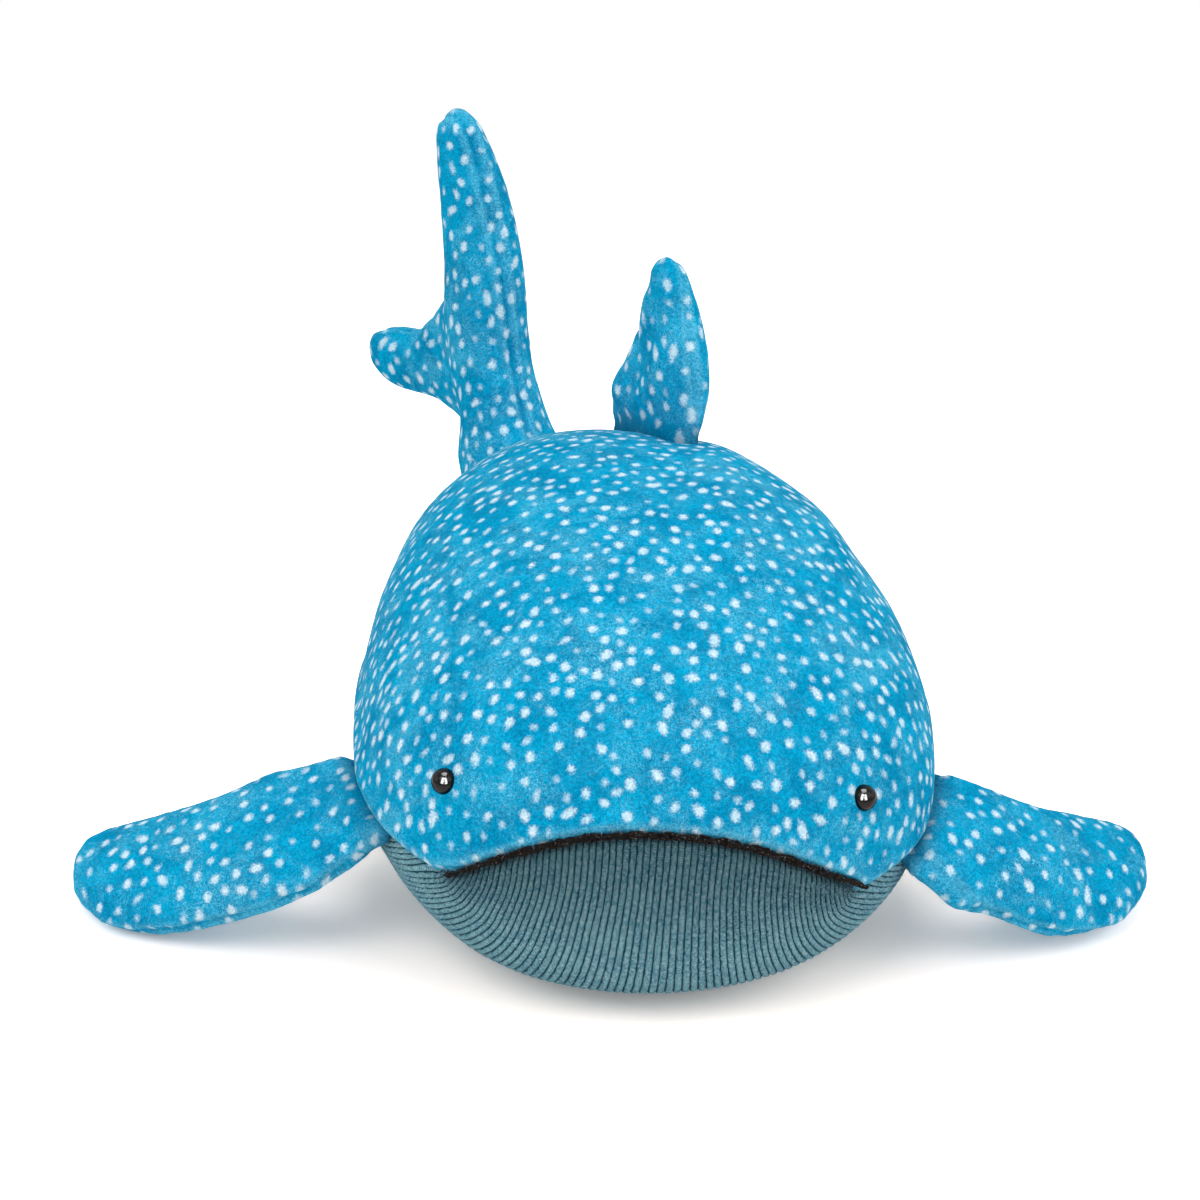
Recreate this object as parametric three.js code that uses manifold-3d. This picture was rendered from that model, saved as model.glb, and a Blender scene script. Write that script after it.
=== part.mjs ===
// Plush whale shark: a stuffed toy of blue pile fabric with a ribbed knit belly.
// Millimetres, +Z up. The snout points along -Y and the toy's left side is +X.
// The origin is the middle of the flat patch of belly that the toy rests on.

import * as THREE from 'three';
import { mergeVertices } from 'three/addons/utils/BufferGeometryUtils.js';
import Module from 'manifold-3d';

const wasm = await Module();
wasm.setup();

const { degToRad } = THREE.MathUtils;

// Stuffed body, with its stations measured back from the tip of the snout
const restBehindSnout = 140;
const bodyHalfWidth = 115.5;
const bodyHeight = 166;
const snoutHeight = 66;
const widestBehindSnout = 110;
const tallestBehindSnout = 165;
const chinBehindSnout = 80;
const widthRoundness = 2.3;
const backRoundness = 2;
const chinRoundness = 2.3;
const sideSquareness = 2.1;
const frontWidestShare = 0.45;
const rearWidestShare = 0.5;
const bellySag = 3;

// Ball that ends the body inside the tail's cup
const tailHingeBehindSnout = 335;
const tailHingeDrift = -31;
const ballRadius = 35;
const ballHeight = 60;
const ballGap = 0.5;
const cupLipAngle = 47;
const cupLipWall = 2.6;

// Body sizes behind the round of the snout, as pairs of station and size
const halfWidths = [[widestBehindSnout, bodyHalfWidth], [150, 113], [200, 103], [250, 83],
  [300, 57], [tailHingeBehindSnout, ballRadius]];
const backHeights = [[tallestBehindSnout, bodyHeight], [200, 163], [250, 146], [300, 118],
  [tailHingeBehindSnout, ballHeight + ballRadius]];
const bellyHeights = [[chinBehindSnout, -bellySag], [200, -bellySag], [260, 2], [300, 12],
  [tailHingeBehindSnout, ballHeight - ballRadius]];
const spineDrifts = [[widestBehindSnout, 0], [200, -6], [300, -22],
  [tailHingeBehindSnout, tailHingeDrift]];

// Skin, seams and filling
const skinThickness = 2.3;
const seamGap = 0.3;
const fillingGap = 0.5;
const seamHeights = [[0, 57], [25, 58], [50, 61], [130, 66], [250, 62],
  [tailHingeBehindSnout, ballHeight]];
const mouthHalfWidth = 81;
const mouthRise = 33;
const mouthFadeStart = 40;
const mouthFadeEnd = 120;
const yarnRadius = 1.5;

// Eyes with their stems and washers
const eyeRadius = 5;
const eyeBulge = 5.5;
const eyeSeats = { left: { across: 81, height: 90.5 }, right: { across: 78.5, height: 95.5 } };
const stemRadius = 2;
const stemLength = 13;
const washerRadius = 6.5;
const washerThickness = 1.6;
const washerSeat = 1.2;
const washerBoreGap = 0.15;

// Side fins, each turning on a line along its root seam
const finRootRadius = 7;
const finRootFront = { behindSnout: 53, height: 49 };
const finRootRear = { behindSnout: 110, height: 68 };
const finDroops = { left: 36, right: 31 };
const finLengths = { left: 97, right: 113 };
const finTipRound = 20;
const finMiddles = [[0, 30], [0.28, 31], [0.55, 40], [0.83, 56], [1, 70]];
const finHalfChords = [[0, 24], [0.28, 30], [0.55, 31], [0.82, 28]];
const finHalfThicknesses = [[0, finRootRadius], [0.14, 10.5], [0.4, 13], [0.7, 12.5], [0.82, 10.5]];

// Fin on the back, turning on a line along its base seam
const dorsalRootRadius = 8;
const dorsalFront = { across: 23, behindSnout: 205 };
const dorsalRear = { across: -11, behindSnout: 268 };
const dorsalLean = 6;
const dorsalLength = 64;
const dorsalTipRound = 12;
const dorsalMiddles = [[0, 36], [0.45, 26], [1, 14]];
const dorsalHalfChords = [[0, 34], [0.3, 26], [0.6, 17], [0.82, 11]];
const dorsalHalfThicknesses = [[0, dorsalRootRadius], [0.22, 12], [0.53, 11], [0.82, 8]];

// Tail stock and lobes, on an upright sheet that bends to the toy's right
const tailFirstYaw = 14;
const tailBend = 0.3;
const upperLobeSpine = [[45, 72], [65, 108], [73, 150], [85, 204]];
const upperLobeTipRound = 20;
const upperHalfDepths = [[31, 28], [70, 24], [116, 22], [168, 15]];
const upperHalfThicknesses = [[31, 26], [70, 19], [116, 15], [168, 12]];
const lowerLobeSpine = [[70, 92], [100, 99], [127, 93]];
const lowerLobeTipRound = 14;
const lowerHalfDepths = [[0, 22], [30, 17], [57, 13]];
const lowerHalfThicknesses = [[0, 14], [30, 13], [57, 11]];

// Facets
const bodySides = 28;
const snoutRings = 8;
const bodyRings = 6;
const ballRings = 4;
const finSides = 12;
const finRings = 5;
const tailSides = 12;
const upperLobeRings = 10;
const lowerLobeRings = 4;
const tipRings = 2;
const roundSides = 16;
const rootAngles = [15, 50];
const domeSteps = 6;
const yarnSteps = 4;
const mouthSteps = 20;
const seamStep = 25;
const sheetSteps = 24;

// Passes of the searches for a point on the body
const surfaceHalvings = 30;
const mouthPasses = 4;
const rootSteps = 20;
const normalStep = 0.2;

// A smooth curve without overshoot through pairs of place and value
function curve(pairs) {
  const slopes = pairs.slice(1).map(([place, value], i) => (value - pairs[i][1]) / (place - pairs[i][0]));
  const tangents = pairs.map((_, i) => {
    if (i === 0) return slopes[0];
    if (i === slopes.length) return slopes[i - 1];
    const [before, after] = [slopes[i - 1], slopes[i]];
    return before * after <= 0 ? 0 : 2 * before * after / (before + after);
  });
  return (place) => {
    const last = pairs.length - 1;
    if (place <= pairs[0][0]) return pairs[0][1];
    if (place >= pairs[last][0]) return pairs[last][1];
    const i = pairs.findIndex(([next]) => next > place) - 1;
    const span = pairs[i + 1][0] - pairs[i][0];
    const t = (place - pairs[i][0]) / span;
    const rise = pairs[i + 1][1] - pairs[i][1];
    const [a, b] = [tangents[i] * span, tangents[i + 1] * span];
    return pairs[i][1] + t * (a + t * (3 * rise - 2 * a - b + t * (a + b - 2 * rise)));
  };
}

// The share of its full size that a rounded end has reached, from 0 at the tip to 1
function roundedShare(progress, roundness) {
  const left = 1 - Math.min(progress, 1);
  return (1 - left ** roundness) ** (1 / roundness);
}

// A closed geometry through a surface's rings, with one point closing each end
function loft({ rings, start, end }) {
  const sides = rings[0].length;
  const points = [start, ...rings.flat(), end];
  const at = (ring, side) => 1 + ring * sides + side % sides;
  const triangles = [];
  for (let side = 0; side < sides; side += 1) {
    triangles.push(0, at(0, side + 1), at(0, side));
    for (let ring = 0; ring < rings.length - 1; ring += 1) {
      triangles.push(at(ring, side), at(ring, side + 1), at(ring + 1, side + 1));
      triangles.push(at(ring, side), at(ring + 1, side + 1), at(ring + 1, side));
    }
    triangles.push(at(rings.length - 1, side), at(rings.length - 1, side + 1), points.length - 1);
  }
  const geometry = new THREE.BufferGeometry().setFromPoints(points);
  geometry.setIndex(triangles);
  return geometry;
}

// The same surface moved inwards along its normals
function inset(surface, depth) {
  const geometry = loft(surface);
  geometry.computeVertexNormals();
  const { position, normal } = geometry.attributes;
  const points = [];
  for (let i = 0; i < position.count; i += 1) {
    const outwards = new THREE.Vector3().fromBufferAttribute(normal, i);
    points.push(new THREE.Vector3().fromBufferAttribute(position, i).addScaledVector(outwards, -depth));
  }
  const sides = surface.rings[0].length;
  const rings = surface.rings.map((_, ring) => points.slice(1 + ring * sides, 1 + (ring + 1) * sides));
  return { rings, start: points[0], end: points.at(-1) };
}

// The same surface with every second point of each ring
function halved({ rings, start, end }) {
  return { rings: rings.map((ring) => ring.filter((_, side) => side % 2 === 0)), start, end };
}

// A geometry as a solid that can be cut and joined
function solid(geometry) {
  const bare = geometry.clone();
  bare.deleteAttribute('normal');
  bare.deleteAttribute('uv');
  const merged = mergeVertices(bare);
  return new wasm.Manifold(new wasm.Mesh({
    numProp: 3,
    vertProperties: new Float32Array(merged.attributes.position.array),
    triVerts: new Uint32Array(merged.index.array),
  }));
}

// A named mesh of a finished solid, in its own finish
function piece(name, shape, finish) {
  const { vertProperties, triVerts } = shape.getMesh();
  const geometry = new THREE.BufferGeometry();
  geometry.setAttribute('position', new THREE.BufferAttribute(vertProperties, 3));
  geometry.setIndex(new THREE.BufferAttribute(triVerts, 1));
  geometry.computeVertexNormals();
  const mesh = new THREE.Mesh(geometry, new THREE.MeshStandardMaterial(finish));
  mesh.name = name;
  return mesh;
}

const plush = { color: '#2fa3d2', roughness: 0.95, metalness: 0 };
const knit = { color: '#6f97a3', roughness: 0.95, metalness: 0 };
const fibre = { color: '#f1efe8', roughness: 1, metalness: 0 };
const blackYarn = { color: '#232123', roughness: 0.95, metalness: 0 };
const blackGloss = { color: '#0b0b0d', roughness: 0.08, metalness: 0 };
const whitePlastic = { color: '#e9e9e6', roughness: 0.5, metalness: 0 };

// Cross-section of the body at a station behind the snout
const halfWidthAt = curve(halfWidths);
const backHeightAt = curve(backHeights);
const bellyHeightAt = curve(bellyHeights);
const driftAt = curve(spineDrifts);
const squarenessAt = curve([[widestBehindSnout, sideSquareness], [tailHingeBehindSnout, 2]]);
const widestShareAt = curve([[widestBehindSnout, frontWidestShare],
  [tailHingeBehindSnout, rearWidestShare]]);

function bodySection(station) {
  const pastHinge = Math.max(station - tailHingeBehindSnout, 0);
  const ballShare = Math.sqrt(Math.max(1 - (pastHinge / ballRadius) ** 2, 0));
  const top = station < tallestBehindSnout
    ? snoutHeight + (bodyHeight - snoutHeight)
      * roundedShare(station / tallestBehindSnout, backRoundness)
    : backHeightAt(station);
  const bottom = station < chinBehindSnout
    ? snoutHeight - (snoutHeight + bellySag) * roundedShare(station / chinBehindSnout, chinRoundness)
    : bellyHeightAt(station);
  const halfWidth = station < widestBehindSnout
    ? bodyHalfWidth * roundedShare(station / widestBehindSnout, widthRoundness)
    : halfWidthAt(station);
  const widest = bottom + (top - bottom) * widestShareAt(station);
  return {
    drift: driftAt(station),
    widest,
    halfWidth: halfWidth * ballShare,
    rise: (top - widest) * ballShare,
    drop: (widest - bottom) * ballShare,
    power: squarenessAt(station),
  };
}

function bodyRing(station) {
  const { drift, widest, halfWidth, rise, drop, power } = bodySection(station);
  return Array.from({ length: bodySides }, (_, side) => {
    const turn = 2 * Math.PI * side / bodySides;
    const [across, up] = [Math.sin(turn), Math.cos(turn)];
    const x = drift + halfWidth * Math.sign(across) * Math.abs(across) ** (2 / power);
    const z = widest + (up > 0 ? rise : drop) * up;
    return new THREE.Vector3(x, station - restBehindSnout, Math.max(z, 0));
  });
}

function makeBodyOutside() {
  const stations = [];
  for (let ring = 1; ring <= snoutRings; ring += 1) {
    stations.push(widestBehindSnout * (ring / snoutRings) ** 2);
  }
  for (let ring = 1; ring <= bodyRings; ring += 1) {
    const share = ring / bodyRings;
    stations.push(THREE.MathUtils.lerp(widestBehindSnout, tailHingeBehindSnout, share));
  }
  for (let ring = 1; ring < ballRings; ring += 1) {
    stations.push(tailHingeBehindSnout + ballRadius * Math.sin(Math.PI / 2 * ring / ballRings));
  }
  const ballEnd = tailHingeBehindSnout + ballRadius - restBehindSnout;
  return {
    rings: stations.map(bodyRing),
    start: new THREE.Vector3(0, -restBehindSnout, snoutHeight),
    end: new THREE.Vector3(tailHingeDrift, ballEnd, ballHeight),
  };
}

const bodyOutside = makeBodyOutside();
const bodyMesh = new THREE.Mesh(loft(bodyOutside));

// Less than 1 inside the body and more than 1 outside it
function bodyLevel({ x, y, z }) {
  const { drift, widest, halfWidth, rise, drop, power } = bodySection(y + restBehindSnout);
  const up = (z - widest) / (z > widest ? rise : drop);
  return (Math.abs(x - drift) / halfWidth) ** power + up * up;
}

function bodyNormal(point) {
  const slope = (axis) => {
    const ahead = point.clone();
    const behind = point.clone();
    ahead[axis] += normalStep;
    behind[axis] -= normalStep;
    return bodyLevel(ahead) - bodyLevel(behind);
  };
  return new THREE.Vector3(slope('x'), slope('y'), slope('z')).normalize();
}

// The body's surface on the way from a point inside it to a point outside it
function bodySurface(inside, outside) {
  let [near, far] = [0, 1];
  for (let halving = 0; halving < surfaceHalvings; halving += 1) {
    const middle = (near + far) / 2;
    if (bodyLevel(inside.clone().lerp(outside, middle)) < 1) near = middle;
    else far = middle;
  }
  return inside.clone().lerp(outside, near);
}

// The place on the faceted skin beside a point, met from outside
function skinHit(point, outwards) {
  const from = point.clone().addScaledVector(outwards, bodyHalfWidth);
  const [hit] = new THREE.Raycaster(from, outwards.clone().negate()).intersectObject(bodyMesh);
  return { point: hit.point, outwards: hit.face.normal };
}

// Height of the seam between the back and the belly, arched over the mouth
const seamHeightAt = curve(seamHeights);

function seamHeight(x, station) {
  const fade = 1 - THREE.MathUtils.smoothstep(station, mouthFadeStart, mouthFadeEnd);
  return seamHeightAt(station) + mouthRise * fade * Math.max(1 - (x / mouthHalfWidth) ** 2, 0);
}

function snoutPoint(x, z) {
  const inside = new THREE.Vector3(x, widestBehindSnout - restBehindSnout, z);
  return bodySurface(inside, new THREE.Vector3(x, -restBehindSnout, z));
}

function mouthPoint(x) {
  let point = snoutPoint(x, seamHeight(x, 0));
  for (let pass = 0; pass < mouthPasses; pass += 1) {
    point = snoutPoint(x, seamHeight(x, point.y + restBehindSnout));
  }
  return point;
}

// All that lies below the seam between the back and the belly
function belowSeam(lift) {
  const reach = 2 * bodyHalfWidth;
  const columns = [-reach];
  for (let step = 0; step <= mouthSteps; step += 1) {
    columns.push(mouthHalfWidth * (2 * step / mouthSteps - 1));
  }
  columns.push(reach);
  const rings = [];
  for (let station = -seamStep; station < tailHingeBehindSnout + 2 * ballRadius; station += seamStep) {
    const y = station - restBehindSnout;
    const top = columns.map((x) => new THREE.Vector3(x, y, seamHeight(x, station) + lift));
    rings.push([new THREE.Vector3(-reach, y, -reach), ...top, new THREE.Vector3(reach, y, -reach)]);
  }
  const middle = (ring) => ring[0].clone().lerp(ring.at(-1), 0.5);
  return solid(loft({ rings, start: middle(rings[0]), end: middle(rings.at(-1)) }));
}

// Round pieces about the Y axis, put on the skin so that +Y points away from the body
function turned(profile) {
  const points = profile.map(([radius, height]) => new THREE.Vector2(radius, height));
  return new THREE.LatheGeometry(points, roundSides);
}

// Where an eye sits on the skin, and which way it looks
function eyeSeat({ across, height }, side) {
  const point = snoutPoint(side * across, height);
  return skinHit(point, bodyNormal(point));
}

function placeEye(geometry, { point, outwards }) {
  const up = new THREE.Vector3(0, 1, 0);
  const turn = new THREE.Quaternion().setFromUnitVectors(up, outwards);
  const middle = point.clone().addScaledVector(outwards, seamGap);
  return geometry.clone().applyQuaternion(turn).translate(middle.x, middle.y, middle.z);
}

function eyeGeometry() {
  const dome = [];
  for (let step = 0; step <= domeSteps; step += 1) {
    const turn = Math.PI / 2 * step / domeSteps;
    dome.push([eyeRadius * Math.cos(turn), eyeBulge * Math.sin(turn)]);
  }
  return turned([[0, -stemLength], [stemRadius, -stemLength], [stemRadius, 0], ...dome]);
}

function washerGeometry() {
  const front = -seamGap - skinThickness - washerSeat;
  const back = front - washerThickness;
  const bore = stemRadius + washerBoreGap;
  return turned([[bore, back], [washerRadius, back], [washerRadius, front], [bore, front], [bore, back]]);
}

function cylinder(radius, from, to) {
  return new THREE.CylinderGeometry(radius, radius, to - from, roundSides)
    .translate(0, (from + to) / 2, 0);
}

// Yarn along the mouth, and the groove that it is sewn into
function mouthTube(radius, extraLength) {
  const line = [];
  for (let step = 0; step <= mouthSteps; step += 1) {
    line.push(mouthPoint(mouthHalfWidth * (2 * step / mouthSteps - 1)));
  }
  const lengthen = (end, next) => end.add(end.clone().sub(next).setLength(extraLength));
  lengthen(line[0], line[1]);
  lengthen(line.at(-1), line.at(-2));
  const circle = new THREE.Shape().absarc(0, 0, radius, 0, 2 * Math.PI);
  return new THREE.ExtrudeGeometry(circle, {
    steps: mouthSteps,
    curveSegments: yarnSteps,
    extrudePath: new THREE.CatmullRomCurve3(line),
  });
}

function makeBody(group) {
  const skin = solid(loft(bodyOutside)).subtract(solid(loft(inset(bodyOutside, skinThickness))))
    .subtract(solid(mouthTube(yarnRadius + seamGap, seamGap)));
  let back = skin.subtract(belowSeam(seamGap / 2));
  const belly = skin.intersect(belowSeam(-seamGap / 2));
  let filling = solid(loft(halved(inset(bodyOutside, skinThickness + fillingGap))));
  const seats = { left: eyeSeat(eyeSeats.left, 1), right: eyeSeat(eyeSeats.right, -1) };
  const hole = cylinder(stemRadius + seamGap, -stemLength, eyeRadius);
  const pocket = cylinder(washerRadius + fillingGap, -stemLength - fillingGap, 0);
  for (const seat of Object.values(seats)) {
    back = back.subtract(solid(placeEye(hole, seat)));
    filling = filling.subtract(solid(placeEye(pocket, seat)));
  }
  group.add(piece('back_panel', back, plush));
  group.add(piece('belly_panel', belly, knit));
  group.add(piece('body_filling', filling, fibre));
  group.add(piece('mouth_yarn', solid(mouthTube(yarnRadius, 0)), blackYarn));
  for (const [name, seat] of Object.entries(seats)) {
    group.add(piece(`${name}_eye`, solid(placeEye(eyeGeometry(), seat)), blackGloss));
    group.add(piece(`${name}_eye_washer`, solid(placeEye(washerGeometry(), seat)), whitePlastic));
  }
}

// Rings of a limb with a half-round root and a rounded tip, all drawn in by a depth
function limbSurface(limb, depth) {
  const { rootRadius, length, tipRound, middles, halfChords, halfThicknesses } = limb;
  const [middleAt, halfChordAt, halfThicknessAt] = [middles, halfChords, halfThicknesses]
    .map((pairs) => curve(pairs.map(([share, size]) => [share * length, size])));
  const stations = rootAngles.map((angle) => ({
    along: -(rootRadius - depth) * Math.cos(degToRad(angle)),
    chordShare: 1,
    thicknessShare: Math.sin(degToRad(angle)),
  }));
  for (let ring = 0; ring <= finRings; ring += 1) {
    const along = (length - tipRound) * ring / finRings;
    stations.push({ along, chordShare: 1, thicknessShare: 1 });
  }
  for (let ring = 1; ring <= tipRings; ring += 1) {
    const turn = Math.PI / 2 * ring / (tipRings + 1);
    const share = Math.cos(turn);
    const along = length - tipRound + (tipRound - depth) * Math.sin(turn);
    stations.push({ along, chordShare: share, thicknessShare: share });
  }
  const rings = stations.map(({ along, chordShare, thicknessShare }) => {
    const halfChord = (halfChordAt(along) - depth) * chordShare;
    const halfThickness = (halfThicknessAt(along) - depth) * thicknessShare;
    return Array.from({ length: finSides }, (_, side) => {
      const turn = 2 * Math.PI * side / finSides;
      const x = middleAt(along) + halfChord * Math.sin(turn);
      return new THREE.Vector3(x, along, halfThickness * Math.cos(turn));
    });
  });
  const start = new THREE.Vector3(middleAt(0), rings[0][0].y, 0);
  const end = new THREE.Vector3(middleAt(length), length - depth, 0);
  return { rings, start, end };
}

// A stuffed fin of two panels and its filling. X runs along the root, Y outwards.
function makeFin(group, limb, names) {
  const stuffed = (depth) => limbSurface(limb, depth);
  const skin = solid(loft(stuffed(0))).subtract(solid(loft(stuffed(skinThickness))));
  const reach = 4 * limb.length;
  const half = (sign) => solid(new THREE.BoxGeometry(reach, reach, reach)
    .translate(0, 0, sign * (reach + seamGap) / 2));
  group.add(piece(names.top, skin.intersect(half(1)), plush));
  group.add(piece(names.bottom, skin.intersect(half(-1)), plush));
  const filling = solid(loft(halved(stuffed(skinThickness + fillingGap))));
  group.add(piece(names.filling, filling, fibre));
}

// Turns a group so that its X runs along the root from front to rear and its Y along the fin
function standFin(group, front, rear, outwards) {
  const along = rear.clone().sub(front).normalize();
  const out = outwards.clone().addScaledVector(along, -outwards.dot(along)).normalize();
  const across = along.clone().cross(out);
  group.applyMatrix4(new THREE.Matrix4().makeBasis(along, out, across).setPosition(front));
}

// Moves a root line clear of the body, so that its half-round just misses the skin
function clearRoot(front, rear, radius) {
  const outwards = bodyNormal(front.clone().lerp(rear, 0.5));
  let lift = -radius;
  for (let step = 0; step <= rootSteps; step += 1) {
    const point = front.clone().lerp(rear, step / rootSteps);
    lift = Math.max(lift, skinHit(point, outwards).point.sub(point).dot(outwards));
  }
  for (const end of [front, rear]) end.addScaledVector(outwards, lift + radius + seamGap);
}

function makeSideFin(name, side) {
  const group = new THREE.Group();
  const upperFirst = side < 0;
  const limb = {
    rootRadius: finRootRadius, length: finLengths[name], tipRound: finTipRound,
    middles: finMiddles, halfChords: finHalfChords, halfThicknesses: finHalfThicknesses,
  };
  makeFin(group, limb, {
    top: `${name}_fin_${upperFirst ? 'upper' : 'lower'}_panel`,
    bottom: `${name}_fin_${upperFirst ? 'lower' : 'upper'}_panel`,
    filling: `${name}_fin_filling`,
  });
  const [front, rear] = [finRootFront, finRootRear].map(({ behindSnout, height }) => {
    const y = behindSnout - restBehindSnout;
    const inside = new THREE.Vector3(0, y, height);
    return bodySurface(inside, new THREE.Vector3(side * 2 * bodyHalfWidth, y, height));
  });
  clearRoot(front, rear, finRootRadius);
  const droop = degToRad(finDroops[name]);
  standFin(group, front, rear, new THREE.Vector3(side * Math.cos(droop), 0, -Math.sin(droop)));
  return group;
}

function makeDorsalFin() {
  const group = new THREE.Group();
  const limb = {
    rootRadius: dorsalRootRadius, length: dorsalLength, tipRound: dorsalTipRound,
    middles: dorsalMiddles, halfChords: dorsalHalfChords, halfThicknesses: dorsalHalfThicknesses,
  };
  makeFin(group, limb, {
    top: 'dorsal_fin_left_panel', bottom: 'dorsal_fin_right_panel', filling: 'dorsal_fin_filling',
  });
  const [front, rear] = [dorsalFront, dorsalRear].map(({ across, behindSnout }) => {
    const y = behindSnout - restBehindSnout;
    const inside = new THREE.Vector3(across, y, snoutHeight);
    return bodySurface(inside, new THREE.Vector3(across, y, 2 * bodyHeight));
  });
  clearRoot(front, rear, dorsalRootRadius);
  const lean = degToRad(dorsalLean);
  standFin(group, front, rear, new THREE.Vector3(Math.sin(lean), 0, Math.cos(lean)));
  return group;
}

// A point of the tail: how far along its bent sheet, how high, and how far out of it
function tailPoint(along, height, out) {
  const firstYaw = degToRad(tailFirstYaw);
  const bend = degToRad(tailBend);
  const yaw = firstYaw + bend * along;
  const x = tailHingeDrift + (Math.cos(yaw) - Math.cos(firstYaw)) / bend;
  const y = tailHingeBehindSnout - restBehindSnout + (Math.sin(yaw) - Math.sin(firstYaw)) / bend;
  return new THREE.Vector3(x - Math.cos(yaw) * out, y - Math.sin(yaw) * out, height);
}

// A lobe along a spine in the tail's sheet, with a rounded tip, all drawn in by a depth
function tailLobe({ spinePoints, halfDepths, halfThicknesses, tipRound, rings }, depth) {
  const [halfDepthAt, halfThicknessAt] = [halfDepths, halfThicknesses].map(curve);
  const spine = new THREE.CatmullRomCurve3(spinePoints.map(([along, height]) =>
    new THREE.Vector3(along, 0, height)));
  const length = spine.getLength();
  const end = spine.getPointAt(1);
  const endWay = spine.getTangentAt(1);
  const ringAt = (middle, way, along, share) => {
    const halfDepth = (halfDepthAt(along) - depth) * share;
    const halfThickness = (halfThicknessAt(along) - depth) * share;
    return Array.from({ length: tailSides }, (_, side) => {
      const turn = 2 * Math.PI * side / tailSides;
      const up = halfDepth * Math.sin(turn);
      const out = halfThickness * Math.cos(turn);
      return tailPoint(middle.x - way.z * up, middle.z + way.x * up, out);
    });
  };
  const all = [];
  for (let ring = 0; ring <= rings; ring += 1) {
    const share = ring / rings;
    all.push(ringAt(spine.getPointAt(share), spine.getTangentAt(share), share * length, 1));
  }
  for (let ring = 1; ring <= tipRings; ring += 1) {
    const turn = Math.PI / 2 * ring / (tipRings + 1);
    const middle = end.clone().addScaledVector(endWay, (tipRound - depth) * Math.sin(turn));
    all.push(ringAt(middle, endWay, length, Math.cos(turn)));
  }
  const first = spine.getPointAt(0);
  const tip = end.clone().addScaledVector(endWay, tipRound - depth);
  return { rings: all, start: tailPoint(first.x, first.z, 0), end: tailPoint(tip.x, tip.z, 0) };
}

// All that lies on one side of the tail's sheet
function besideTailSheet(sign) {
  const [near, far] = [[], []];
  const reach = Math.max(...[...upperLobeSpine, ...lowerLobeSpine].map(([along]) => along));
  const top = Math.max(...[...upperLobeSpine, ...lowerLobeSpine].map(([, height]) => height));
  for (let step = 0; step <= sheetSteps; step += 1) {
    const along = THREE.MathUtils.lerp(-ballRadius, reach + 2 * ballRadius, step / sheetSteps);
    near.push(tailPoint(along, 0, sign * seamGap / 2));
    far.unshift(tailPoint(along, 0, sign * 2 * ballRadius));
  }
  const outline = [...near, ...far].map(({ x, y }) => new THREE.Vector2(x, y));
  const depth = top + 3 * ballRadius;
  return solid(new THREE.ExtrudeGeometry(new THREE.Shape(outline), { depth, bevelEnabled: false })
    .translate(0, 0, -ballRadius));
}

function makeTail(group) {
  const lip = degToRad(cupLipAngle);
  const cupRadius = ballRadius + ballGap;
  const lipRadius = cupRadius * Math.sin(lip) + cupLipWall;
  const upper = {
    spinePoints: [[cupRadius * Math.cos(lip), ballHeight], ...upperLobeSpine],
    halfDepths: [[0, lipRadius], ...upperHalfDepths],
    halfThicknesses: [[0, lipRadius], ...upperHalfThicknesses],
    tipRound: upperLobeTipRound,
    rings: upperLobeRings,
  };
  const lower = {
    spinePoints: lowerLobeSpine,
    halfDepths: lowerHalfDepths,
    halfThicknesses: lowerHalfThicknesses,
    tipRound: lowerLobeTipRound,
    rings: lowerLobeRings,
  };
  const lobes = (depth) => [upper, lower].map((lobe) => tailLobe(lobe, depth));
  const joined = ([first, second]) => solid(loft(first)).add(solid(loft(second)));
  const hinge = tailPoint(0, ballHeight, 0);
  const ball = solid(new THREE.SphereGeometry(cupRadius, 2 * roundSides, roundSides)
    .translate(hinge.x, hinge.y, hinge.z));
  const skin = joined(lobes(0)).subtract(joined(lobes(skinThickness))).subtract(ball);
  group.add(piece('tail_right_panel', skin.intersect(besideTailSheet(1)), plush));
  group.add(piece('tail_left_panel', skin.intersect(besideTailSheet(-1)), plush));
  const filling = joined(lobes(skinThickness + fillingGap).map(halved));
  group.add(piece('tail_filling', filling.subtract(ball), fibre));
}

const toy = new THREE.Group();
makeBody(toy);
toy.add(makeSideFin('left', 1));
toy.add(makeSideFin('right', -1));
toy.add(makeDorsalFin());
makeTail(toy);

export default toy;
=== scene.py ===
import math

import bpy
import numpy as np
from mathutils import Matrix, Quaternion, Vector, kdtree, noise
from mathutils.bvhtree import BVHTree


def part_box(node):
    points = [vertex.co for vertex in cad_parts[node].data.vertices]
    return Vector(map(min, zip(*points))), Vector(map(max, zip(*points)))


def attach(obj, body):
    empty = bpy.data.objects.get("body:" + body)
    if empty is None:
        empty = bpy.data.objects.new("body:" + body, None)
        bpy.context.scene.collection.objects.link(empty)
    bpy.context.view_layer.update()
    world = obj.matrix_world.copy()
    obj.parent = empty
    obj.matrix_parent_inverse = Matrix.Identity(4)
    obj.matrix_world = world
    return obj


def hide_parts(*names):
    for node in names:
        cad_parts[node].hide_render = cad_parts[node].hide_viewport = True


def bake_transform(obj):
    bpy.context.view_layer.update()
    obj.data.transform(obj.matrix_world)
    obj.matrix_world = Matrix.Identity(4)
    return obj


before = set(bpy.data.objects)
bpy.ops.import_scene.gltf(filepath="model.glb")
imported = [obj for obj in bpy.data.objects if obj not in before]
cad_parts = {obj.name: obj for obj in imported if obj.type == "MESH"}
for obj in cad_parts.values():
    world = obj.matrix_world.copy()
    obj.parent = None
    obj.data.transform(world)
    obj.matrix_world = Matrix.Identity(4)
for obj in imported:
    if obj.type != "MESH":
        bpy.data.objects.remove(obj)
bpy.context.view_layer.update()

# Plush whale shark. Metres, +Z up, the snout points along -Y and the toy's left is +X.

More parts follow.
